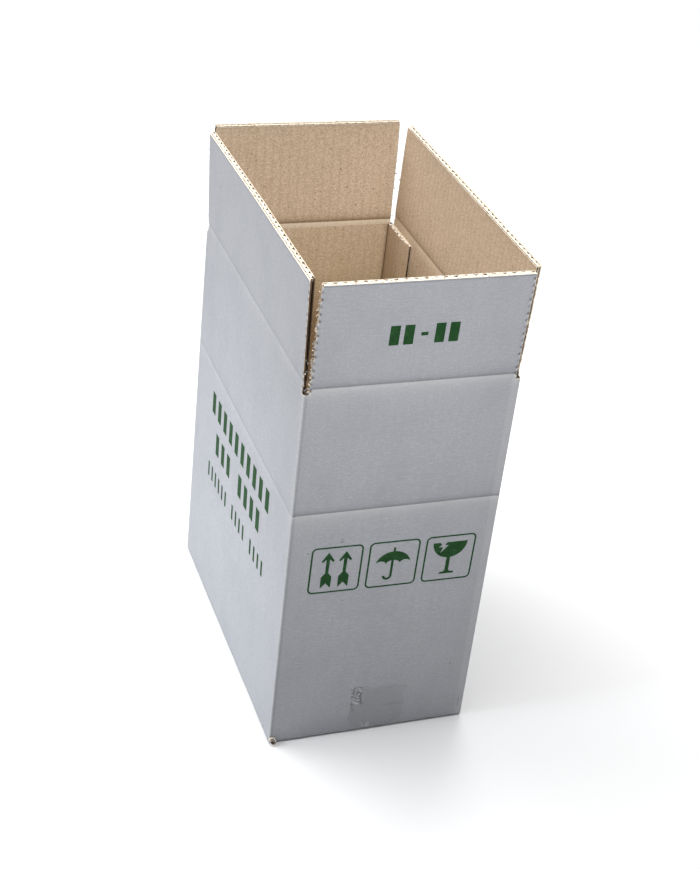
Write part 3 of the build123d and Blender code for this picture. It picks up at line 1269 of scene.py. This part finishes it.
def build_bottom_flap(side, underside, reach, seed):
    """A closed bottom flap. Its heights run from its free edge, at minus its reach, back to the panel."""
    half = sides[side]["half"] - slot_half_width

    def place(along, depth, height):
        return np.column_stack([plan_point(side, along, -height), underside + depth])

    def root_swell(along, height):
        return small_relief(washboard_inside)(along, height) + 0.7 * mm * bump(height + board, 1.8 * mm)

    edge_rows = -reach + rim_depth * np.linspace(0, 1, 7)
    sheet_rows = np.arange(-reach + 6 * mm, -9 * mm, 12 * mm)
    root_rows = [-8 * mm, -6.5 * mm, -5.2 * mm, -board]
    sheets = board_sheets(
        place,
        flute_columns(-half, half),
        np.concatenate([edge_rows, sheet_rows, root_rows]),
        lambda a, h: 0.0 * a,
        root_swell,
        -reach,
        lambda a: blank_middle[side] + a,
        seed,
    )
    stand_for_body(make_piece(f"{side}_bottom_flap_board", sheets))


for seed, side in enumerate(side_names):
    if side in ("left", "right"):
        build_bottom_flap(side, floor_gap + lip_curl, half_width - seam_half, seed + 11)
    else:
        build_bottom_flap(side, board + 0.3 * mm, short_flap_reach, seed + 11)

# %% [markdown]
# ## Sealing tape
#
# One strip of clear film runs under the seam and about 50 mm up the front and the back. Clear tape is
# seen by its edges, by its wrinkles and by a slightly different tone where it lies on the board. It
# is a slab too, but folded round the bottom of the box, and it lies a hair above the board. On the
# front its upper left corner is crumpled and its foot has small folds. A real crumple is a mass of
# tiny facets, some bright and some dark, so there the film changes at random between two more
# finishes, a painted highlight and a painted shade, in cells of about 1.4 mm.

# %% Tape finish
# For each film: its tone, the tone of its crinkles, and how much of the board it covers
tape_films = {
    "tape_film": ((0.50, 0.51, 0.535), (0.58, 0.59, 0.61), 0.22),
    # A painted highlight for the crumple's bright facets and the foot's glints
    "tape_fold": ((0.70, 0.71, 0.73), (0.95, 0.95, 0.96), 0.42),
    # Painted shade for the crumple's dark facets and the pressed line
    "tape_shade": ((0.08, 0.08, 0.09), (0.25, 0.25, 0.26), 0.32),
}


def finish_tape(name, tone, light, cover):
    """A thin film, slightly crinkled and glossier than paper, that lets most of the board show."""
    film = Finish(name, 0.30)
    crinkle = film.noise(180, (1, 0.4, 1), detail=3)
    fine = film.noise(900, detail=2)
    film.colour(film.tint(tone, light, film.band(crinkle, 0.4, 0.7)))
    film.shader.inputs["Alpha"].default_value = cover
    film.shader.inputs["IOR"].default_value = 1.47
    soft = film.relief(crinkle, 0.25 * mm)
    film.relief(fine, 0.02 * mm, soft)


for name, (tone, light, cover) in tape_films.items():
    finish_tape(name, tone, light, cover)

# %% The tape's way round the box
tape_low, tape_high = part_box("bottom_tape")
tape_middle = (tape_low.x + tape_high.x) / 2
tape_half = (tape_high.x - tape_low.x) / 2
tape_rise_left = 51 * mm
tape_rise_right = 46 * mm
tape_rise_back = 48 * mm
film_thickness = 0.06 * mm


def tape_path(rise, step):
    """Points (y, z) down a panel and round its bottom, with their outward directions."""
    path = [(half_length, z, 1.0, 0.0) for z in np.arange(rise, bottom_radius, -step)]
    for angle in np.linspace(0, math.pi / 2, 7):
        y = half_length - bottom_radius + bottom_radius * math.cos(angle)
        z = bottom_radius - bottom_radius * math.sin(angle)
        path.append((y, z, math.cos(angle), -math.sin(angle)))
    return np.array(path)


# %% [markdown]
# Which cells are bright or dark comes from one table of random numbers with a fixed seed. Bright
# facets get a painted highlight in the crumple and in the foot's folds, and dark ones get painted shade
# between them in the crumple. A thin line that is pressed across the right half gets painted shade too.

# %% Crumples of the film


def wrinkle_papers(from_left, z, on_front):
    """The finish at each point of the film, from its distance to the left side and its height."""
    crumpled = (from_left < 9.5 * mm - 0.15 * (z - 50 * mm)) & (z > 31 * mm)
    crumpled = crumpled | ((from_left < 5 * mm) & (np.abs(z - 25 * mm - 0.5 * from_left) < 2 * mm))
    glinting = (np.abs(from_left - 20 * mm) < 7 * mm) & (z > 3 * mm) & (z < 9 * mm)
    pressed_line = (np.abs(z - 28 * mm) < 0.5 * mm) & (from_left > 32 * mm)
    chance = np.random.default_rng(4).normal(0.0, 1.0, (60, 60))
    pattern = chance[(from_left / (1.3 * mm)).astype(int) % 60, (z / (1.5 * mm)).astype(int) % 60]
    # Painted highlight on bright facets, painted shade on dark ones and on the pressed line
    bright = (crumpled & (pattern > 0.5)) | (glinting & (pattern > 0.4))
    dark = (crumpled & (pattern < -0.5)) | pressed_line
    return np.select([bright & on_front, dark & on_front], ["tape_fold", "tape_shade"], "tape_film")


# %% Lay the tape


def build_tape():
    """The strip from the front panel, under the seam, to the back panel."""
    front_end = tape_path(tape_rise_left, 0.7 * mm) * (-1, 1, -1, 1)
    beneath = np.array([(y, 0.0, 0.0, -1.0) for y in np.linspace(-0.13, 0.13, 27)])
    back_end = tape_path(tape_rise_back, 2.1 * mm)[::-1]
    path = np.concatenate([front_end, beneath, back_end])
    steps = np.hypot(*np.diff(path[:, :2], axis=0).T)
    travelled = np.concatenate([[0.0], np.cumsum(steps)])
    slope = (tape_rise_right - tape_rise_left) / (2 * tape_half)

    def place(across, depth, row):
        spot = path[row.astype(int)]
        on_front = (spot[:, 0] < 0) & (spot[:, 1] > bottom_radius)
        from_bottom = spot[:, 1] - bottom_radius
        drop = slope * (across + tape_half) * from_bottom / (tape_rise_left - bottom_radius)
        z = spot[:, 1] + np.where(on_front, drop, 0.0)
        x = tape_middle + across
        standing = np.where(spot[:, 0] < 0, 1.0, 0.0)
        relief = outer_relief("front", x, z - short_crease) * standing
        relief = relief + outer_relief("back", -x, z - short_crease) * (1 - standing)
        out = 0.02 * mm + relief * np.abs(spot[:, 2]) - depth
        return np.column_stack([x, spot[:, 0] + spot[:, 2] * out, np.maximum(z + spot[:, 3] * out, 0.0)])

    def wrinkles(across, row):
        spot = path[row.astype(int)]
        upright = smooth((spot[:, 1] - 2 * mm) / (4 * mm))
        near_left = bump(across + tape_half - 2.5 * mm, 3.5 * mm)
        folds = np.abs(np.sin(spot[:, 1] / (1.9 * mm) + across / (1.3 * mm)))
        blister = np.sin(across / (6.5 * mm) + 1.0) * np.sin(spot[:, 1] / (9 * mm))
        foot_folds = bump(across + tape_half - 20 * mm, 7 * mm) * bump(spot[:, 1] - 6 * mm, 3 * mm)
        foot_folds = foot_folds * np.abs(np.sin(across / (0.8 * mm)))
        line = bump(spot[:, 1] - 28 * mm, 0.6 * mm) * smooth((across - 6 * mm) / (4 * mm))
        relief = 0.65 * near_left * folds ** 3 + 0.10 * blister ** 2 + 0.8 * foot_folds ** 2 + 0.25 * line
        return upright * relief * mm

    def trim(across, row):
        at_left = across < -tape_half + 0.01 * mm
        z = path[row.astype(int), 1]
        ragged = (0.5 * np.sin(z / (1.6 * mm)) + 0.8 * np.sin(z / (4.3 * mm))) * mm
        return across + np.where(at_left, 0.4 * mm + 0.5 * ragged, 0.0), row

    sheet = slab(
        place,
        np.linspace(-tape_half, tape_half, 80),
        np.arange(len(path)),
        lambda a, row: -film_thickness - wrinkles(a, row),
        lambda a, row: -wrinkles(a, row),
        ("tape_film",) * 4,
        lambda a: a,
        trim,
    )
    across, row = sheet["blank"][:, 0], sheet["blank"][:, 1]
    spot = path[row.astype(int)]
    paper = wrinkle_papers(across + tape_half, spot[:, 1], spot[:, 0] < 0)
    sheet["paper"] = paper[sheet["faces"][:, 0]]
    sheet["blank"][:, 1] = np.interp(row, np.arange(len(path)), travelled)
    sheet["faces"] = sheet["faces"][:, ::-1]
    piece = make_piece("sealing_tape", [sheet], smooth_angle=60)
    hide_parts("bottom_tape")
    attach(piece, "box")


build_tape()

# %% [markdown]
# ## Printed marks
#
# The box is printed in one green ink. The three handling marks on the front are common transport
# symbols: this way up, keep dry and fragile. Where a printer would put lettering there are plain bars
# of the same height and rhythm. Ink could be a mask in the liner's material, but drawn outlines stay
# crisp, so each mark is a flat outline that is filled, cut into small facets, and laid on the relief
# of the panel with the thickness of a layer of ink.

# %% Ink
ink_green = (0.011, 0.056, 0.014)
ink_thin = (0.020, 0.082, 0.022)
ink_missed = (0.10, 0.19, 0.11)
ink_thickness = 0.03 * mm


def finish_ink():
    """Matt ink, thinner in patches, with a few fibres that it has missed."""
    ink = Finish("green_ink", 0.75)
    ink.shader.inputs["Specular IOR Level"].default_value = 0.15
    fibre = ink.noise(900, (0.2, 1, 1), detail=3)
    patch = ink.noise(160, detail=3)
    face = ink.tint(ink_green, ink_thin, ink.band(patch, 0.45, 0.75))
    ink.colour(ink.tint(face, ink_missed, ink.band(fibre, 0.58, 0.80, 0.0, 0.6)))
    ink.relief(fibre, 0.05 * mm)


finish_ink()

# %% Fill outlines and lay them on the board


def lay_ink(name, shapes, place, body, ink="green_ink", facet=2.0 * mm):
    """Ink from a list of shapes. A shape is a list of loops in millimetres: its outline, then any holes."""
    form = bmesh.new()
    for loops in shapes:
        points = [Vector((x, y, 0)) for loop in loops for x, y in loop]
        corners = [form.verts.new(p) for p in points]
        for a, b, c in tessellate_polygon([[Vector((x, y, 0)) for x, y in loop] for loop in loops]):
            form.faces.new((corners[a], corners[b], corners[c]))
    spans = [(min(v.co[k] for v in form.verts), max(v.co[k] for v in form.verts)) for k in (0, 1)]
    for axis, (low, high) in enumerate(spans):
        for cut in np.arange(low + facet / mm, high, facet / mm):
            spot = Vector((cut if axis == 0 else 0, cut if axis == 1 else 0, 0))
            normal = Vector((1 - axis, axis, 0))
            everything = form.verts[:] + form.edges[:] + form.faces[:]
            bmesh.ops.bisect_plane(form, geom=everything, dist=1e-5, plane_co=spot, plane_no=normal)
    bmesh.ops.recalc_face_normals(form, faces=form.faces)
    if form.faces[0].normal.z < 0:
        bmesh.ops.reverse_faces(form, faces=form.faces)
    top = bmesh.ops.extrude_face_region(form, geom=form.faces[:])
    for part in top["geom"]:
        if isinstance(part, bmesh.types.BMVert):
            part.co.z = 1.0
    mesh = bpy.data.meshes.new(name)
    form.to_mesh(mesh)
    form.free()
    flat = np.array([v.co for v in mesh.vertices])
    moved, blank = place(flat[:, 0] * mm, flat[:, 1] * mm, flat[:, 2] * ink_thickness)
    mesh.vertices.foreach_set("co", moved.astype(np.float32).ravel())
    marks = mesh.attributes.new("blank", "FLOAT_VECTOR", "POINT")
    marks.data.foreach_set("vector", blank.astype(np.float32).ravel())
    mesh.materials.append(materials[ink])
    mesh.update()
    piece = bpy.data.objects.new(name, mesh)
    bpy.context.scene.collection.objects.link(piece)
    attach(piece, body)
    print(f"{name}: {len(mesh.polygons)} faces")
    return piece


def on_panel(side, middle, height, tilt):
    """Places a flat drawing on a panel, about a middle point and turned by a tilt in degrees."""
    turn = math.radians(tilt)

    def place(x, y, proud):
        along = middle + x * math.cos(turn) - y * math.sin(turn)
        z = height + x * math.sin(turn) + y * math.cos(turn)
        lift = outer_relief(side, along, z - sides[side]["crease"]) + 0.01 * mm + proud
        plan = plan_point(side, along, -lift)
        return np.column_stack([plan, z]), np.column_stack([blank_middle[side] + along, z, proud])

    return place


def on_flap(side, middle, height):
    """Places a flat drawing on a top flap."""
    fold = flap_fold(side)

    def place(x, y, proud):
        along = middle + x
        up = height + y
        lift = outer_relief(side, along, up) + 0.01 * mm + proud
        return fold(along, -lift, up), np.column_stack([blank_middle[side] + along, up, proud])

    return place


# %% [markdown]
# The handling marks share one rounded frame, 44.6 by 46 mm. Curves are worked out, not traced: the
# frame's corners and the canopy are arcs, the hook is half a ring, and the bowl of the glass is an
# ellipse.

# %% Arcs and rounded corners


def arc_points(cx, cy, rx, ry, start, end, count):
    """Points on an ellipse's arc, angles in degrees."""
    angles = [math.radians(start + (end - start) * k / (count - 1)) for k in range(count)]
    return [(cx + rx * math.cos(a), cy + ry * math.sin(a)) for a in angles]


def rounded_box(half_x, half_y, radius):
    """A rectangle's outline with rounded corners."""
    points = []
    for sx, sy, start in ((1, 1, 0), (-1, 1, 90), (-1, -1, 180), (1, -1, 270)):
        middle = (sx * (half_x - radius), sy * (half_y - radius))
        points += arc_points(*middle, radius, radius, start, start + 90, 6)
    return points


def shifted(shapes, dx):
    """The same shapes, moved sideways."""
    return [[[(x + dx, y) for x, y in loop] for loop in loops] for loops in shapes]


# %% [markdown]
# Each figure below is a list of shapes, drawn about the middle of its frame with y upwards. Half of a
# symmetric one is written down and mirrored, and a loop that runs the other way round inside an
# outline is a hole.

# %% The figures of the handling marks
mark_half_x = 22.3
mark_half_y = 23.0
mark_line = 1.5
mark_corner = 4.6


def mark_frame():
    """The rounded frame: one outline with a smaller one as its hole."""
    outside = rounded_box(mark_half_x, mark_half_y, mark_corner)
    inside = rounded_box(mark_half_x - mark_line, mark_half_y - mark_line, mark_corner - mark_line)
    return [outside, inside[::-1]]


def up_arrow():
    """An arrow with a barbed head and a feathered tail."""
    right = [(5.5, 9.4), (4.6, 7.7), (1.5, 10.7), (1.4, -3.0), (4.6, -7.0), (4.4, -18.2)]
    left = [(-x, y) for x, y in right[::-1]]
    return [[(0.0, 17.6)] + right + [(0.0, -13.2)] + left]


def umbrella():
    """A canopy with a scalloped hem, its ferrule, its stick and its hooked handle."""
    canopy = arc_points(0, -1.6, 15.6, 14.0, 12, 168, 25)
    hem = arc_points(-10.9, 0.2, 4.6, 3.0, 165, 20, 7) + arc_points(0, -0.8, 6.4, 4.4, 170, 10, 9)
    hem += arc_points(10.9, 0.2, 4.6, 3.0, 160, 15, 7)
    ferrule = [(-1.1, 11.5), (1.1, 11.5), (0.9, 16.2), (-0.9, 16.2)]
    hook_middle = (-3.7, -11.8)
    outer = arc_points(*hook_middle, 4.3, 4.3, 0, -180, 13)
    inner = arc_points(*hook_middle, 2.1, 2.1, -180, 0, 11)
    stick = [(-1.6, 3.4), (0.6, 3.4)] + outer + inner
    return [[canopy + hem], [ferrule], [stick]]


def cracked_glass():
    """A stemmed glass with a jagged crack from its rim."""
    rim_y = 16.0
    bowl = arc_points(-0.4, rim_y, 15.3, 15.6, -90 + 6, 0, 12)
    bowl_left = arc_points(-0.4, rim_y, 15.3, 15.6, -180, -90 - 6, 12)
    crack = [(-3.2, rim_y), (-5.2, 13.6), (-1.8, 12.8), (-8.4, 5.6)]
    crack += [(-6.6, 11.2), (-10.4, 11.6), (-7.8, 13.9), (-9.6, rim_y)]
    cup = bowl + crack + bowl_left
    stem = [(-1.9, 1.2), (1.5, 1.2), (1.5, -12.0), (2.4, -13.8), (6.6, -14.6)]
    stem += [(6.6, -16.2), (-6.6, -16.2), (-6.6, -14.6), (-2.6, -13.8), (-1.8, -12.0)]
    return [[cup], [stem]]


# %% Print the handling marks
mark_pitch = 49.8
marks_middle = 2.5 * mm
marks_height = 180.3 * mm
marks_tilt = -0.8

two_arrows = shifted([up_arrow()], -7.3) + shifted([up_arrow()], 7.7)
handling_marks = []
for step, figure in ((-1, two_arrows), (0, umbrella()), (1, cracked_glass())):
    handling_marks += shifted([mark_frame()] + figure, step * mark_pitch)
lay_ink("handling_marks", handling_marks, on_panel("front", marks_middle, marks_height, marks_tilt), "box")

# %% [markdown]
# The left panel and the front flap carried words and a code. Their place keeps plain upright bars:
# one for each character's width, in groups, with the weight and height of the print.

# %% Print the plain bars


def bars(groups, advance, width, height):
    """Upright bars in groups of a given count, centred on zero, with one advance between groups."""
    places = []
    cursor = 0
    for count in groups:
        places += [cursor + k for k in range(count)]
        cursor += count + 1
    middle = (cursor - 2) / 2
    bar = rounded_box(width / 2, height / 2, 0.6)
    return [shifted([[bar]], (spot - middle) * advance)[0] for spot in places]


# Each line: its name, its groups of bars, their advance, width and height in millimetres, then the line's
# middle, level and tilt on the panel
panel_lines = (
    ("bars_upper", (10,), 18.8, 10.0, 21.0, 1.5 * mm, 209.6 * mm, 2.3),
    ("bars_middle", (3, 4), 18.6, 10.0, 21.0, 0.5 * mm, 175.8 * mm, 3.4),
    ("bars_lower", (6, 4, 4), 11.6, 4.4, 15.0, 0.0 * mm, 139.2 * mm, 3.4),
)
for name, groups, advance, width, height, middle, level, tilt in panel_lines:
    lay_ink(name, bars(groups, advance, width, height), on_panel("left", middle, level, tilt), "box")

code_bars = shifted(bars((2,), 11.6, 8.0, 17.2), -18.4) + shifted(bars((2,), 11.6, 8.0, 17.2), 18.4)
code_bars.append([rounded_box(2.9, 1.5, 0.5)])
lay_ink("flap_code_bars", code_bars, on_flap("front", 1.0 * mm, 43.4 * mm), "flap_front")

# %% [markdown]
# ## Traces of use
#
# A few dark specks and scuffs keep the white faces from looking new. They are laid on like print, in
# a dull grey. At the foot of the front left corner a scrap of torn liner has rolled itself up.

# %% Specks and scuffs
dirt_dark = (0.075, 0.07, 0.06)
dirt_light = (0.16, 0.155, 0.15)


def finish_dirt():
    """Dull and nearly black, for specks and scuffs."""
    dirt = Finish("dirt", 0.9)
    patch = dirt.noise(900, detail=2)
    dirt.colour(dirt.tint(dirt_dark, dirt_light, dirt.band(patch, 0.4, 0.6)))


def speck(x, y, width, height, seed):
    """An irregular speck about a point, in millimetres."""
    points = arc_points(0, 0, width / 2, height / 2, 0, 315, 8)
    return [[(x + px * (1 + 0.25 * math.sin(3 * k + seed)), y + py) for k, (px, py) in enumerate(points)]]


finish_dirt()
# Place along, height, width and height of each speck, in millimetres
front_specks = [
    (-72.4, 199.7, 2.4, 0.7),
    (-38.1, 148.2, 1.1, 0.9),
    (3.6, 209.6, 0.8, 0.9),
    (70.7, 62.9, 1.5, 1.2),
    (-44.5, 210.4, 0.6, 2.2),
    (-45.3, 208.0, 0.7, 1.9),
    (-43.4, 208.0, 1.7, 0.7),
    (84.9, 17.5, 0.35, 15.0),
    (12.0, 130.0, 0.7, 0.6),
    (-55.0, 112.0, 0.6, 0.6),
    (6.0, 98.0, 1.3, 0.4),
    (48.0, 121.0, 0.6, 0.5),
]
dirt_shapes = [speck(*spot, seed) for seed, spot in enumerate(front_specks)]
lay_ink("front_specks", dirt_shapes, on_panel("front", 0.0, 0.0, 0.0), "box", "dirt")
left_speck = [speck(0, 0, 0.9, 1.0, 3)]
lay_ink("left_speck", left_speck, on_panel("left", 85.3 * mm, 49.3 * mm, 0.0), "box", "dirt")
flap_specks = [speck(-104.0, 52.0, 0.5, 3.6, 1), speck(40.0, 30.0, 0.7, 0.5, 2)]
lay_ink("left_flap_specks", flap_specks, on_flap("left", 0.0, 0.0), "flap_left", "dirt")

# %% The rolled scrap at the corner


def build_corner_scrap():
    """A torn strip of liner, rolled one turn and a half about an axis that points forwards."""
    centre = Vector((-86.8 * mm, -half_length - 2.2 * mm, 4.2 * mm))
    axis = Vector((-0.30, -0.90, 0.30)).normalized()
    right = axis.cross(Vector((0, 0, 1))).normalized()
    up = right.cross(axis).normalized()

    def place(angle, depth, length):
        radius = 3.6 * mm - 0.26 * mm * angle + 0.25 * mm * np.sin(2.0 * angle) - depth
        ring_point = np.outer(radius * np.cos(angle), right) + np.outer(radius * np.sin(angle), up)
        uneven = length * (1.0 + 0.25 * np.sin(3.0 * angle))
        point = np.array(centre) + ring_point + np.outer(uneven, axis)
        return np.maximum(point, (-1.0, -1.0, 0.05 * mm))

    sheet = slab(
        place,
        np.linspace(0.3, 9.0, 40),
        np.linspace(-2.0 * mm, 1.6 * mm, 6),
        lambda a, h: 0.0 * a,
        lambda a, h: 0.0 * a + 0.3 * mm,
        ("cut_edge", "medium_paper", "cut_edge", "cut_edge"),
        lambda a: a * 3 * mm,
    )
    piece = make_piece("corner_scrap", [sheet], smooth_angle=60)
    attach(piece, "box")


build_corner_scrap()

# %% [markdown]
# ## Floor, light and camera
#
# A pale floor under soft light, as in a small product studio. Most of it falls from a wide lamp right
# above, so a panel's brightness tells how much it turns up, and every crease shows as a dark and a
# light line, which painted shade and highlight on the crease make stronger. A second wide lamp behind
# on the left, with a weak one in front of it, lights the left panel, one far behind whitens the floor,
# and three soft spots lift the front flap, the right flap and the foot of the left panel. The camera
# stands where the photograph was taken from, a little tilted.

# %% Floor
floor_size = 8.0
floor_white = (0.90, 0.90, 0.90, 1.0)


def build_floor():
    """A large pale plane. It belongs to the stage and not to the part."""
    mesh = bpy.data.meshes.new("studio_floor")
    s = floor_size
    mesh.from_pydata([(-s, -s, 0), (s, -s, 0), (s, s, 0), (-s, s, 0)], [], [(0, 1, 2, 3)])
    floor = bpy.data.objects.new("studio_floor", mesh)
    bpy.context.scene.collection.objects.link(floor)
    finish = bpy.data.materials.new("floor_paint")
    finish.use_nodes = True
    shader = finish.node_tree.nodes["Principled BSDF"]
    shader.inputs["Base Color"].default_value = floor_white
    shader.inputs["Roughness"].default_value = 0.9
    mesh.materials.append(finish)


build_floor()
print(f"floor of {2 * floor_size:.0f} x {2 * floor_size:.0f} m")

# %% Light


def add_lamp(light, place, target, power):
    """Places a lamp so that it faces a point."""
    light.energy = power
    lamp = bpy.data.objects.new(light.name, light)
    lamp.location = place
    direction = Vector(target) - Vector(place)
    lamp.rotation_euler = direction.to_track_quat("-Z", "Y").to_euler()
    bpy.context.scene.collection.objects.link(lamp)


def soft_box(name, size, place, target, power):
    """A wide square lamp."""
    light = bpy.data.lights.new(name, "AREA")
    light.size = size
    add_lamp(light, place, target, power)


def spot(name, angle, place, target, power, tone=(1.0, 1.0, 1.0)):
    """A soft-edged spot, its cone given in degrees."""
    light = bpy.data.lights.new(name, "SPOT")
    light.color = tone
    light.spot_size = math.radians(angle)
    light.spot_blend = 1.0
    light.shadow_soft_size = 0.15
    add_lamp(light, place, target, power)


soft_box("overhead", 2.0, (0.0, 0.0, 2.6), (0.0, 0.0, 0.2), 62.0)
soft_box("key", 2.0, (-1.4, 1.1, 2.2), (0.0, 0.0, 0.2), 47.0)
soft_box("left_fill", 1.0, (-1.8, -0.3, 1.2), (0.0, 0.0, 0.2), 4.0)
soft_box("backdrop", 2.0, (1.6, 3.4, 2.4), (1.2, 2.4, 0.0), 70.0)
spot("flap_spot", 22, (-0.1, -1.7, 1.35), (0.0, -0.05, 0.42), 84.0)
spot("left_spot", 26, (-1.5, -0.1, 0.9), (-0.09, 0.03, 0.02), 44.0, (0.87, 0.93, 1.0))
spot("right_flap_spot", 12, (-1.3, 0.0, 1.3), (0.12, 0.0, 0.42), 13.0)

world = bpy.data.worlds.new("studio_air")
world.use_nodes = True
background = world.node_tree.nodes["Background"]
background.inputs["Color"].default_value = (0.97, 0.98, 1.0, 1.0)
background.inputs["Strength"].default_value = 0.06
bpy.context.scene.world = world
bpy.context.scene.view_settings.view_transform = "Standard"
print(len(bpy.data.lights), "lamps")

# %% Camera
camera_data = bpy.data.cameras.new("photo_camera")
camera_data.lens = 68.1187
camera_data.sensor_width = 36.0
camera_data.clip_start = 0.01
camera = bpy.data.objects.new("photo_camera", camera_data)
camera.location = (-0.458086, -1.147726, 0.970974)
camera.rotation_euler = Euler([math.radians(turn) for turn in (58.41210, -5.85403, -18.64064)])
bpy.context.scene.collection.objects.link(camera)
bpy.context.scene.camera = camera
print("camera at", [round(c, 3) for c in camera.location])
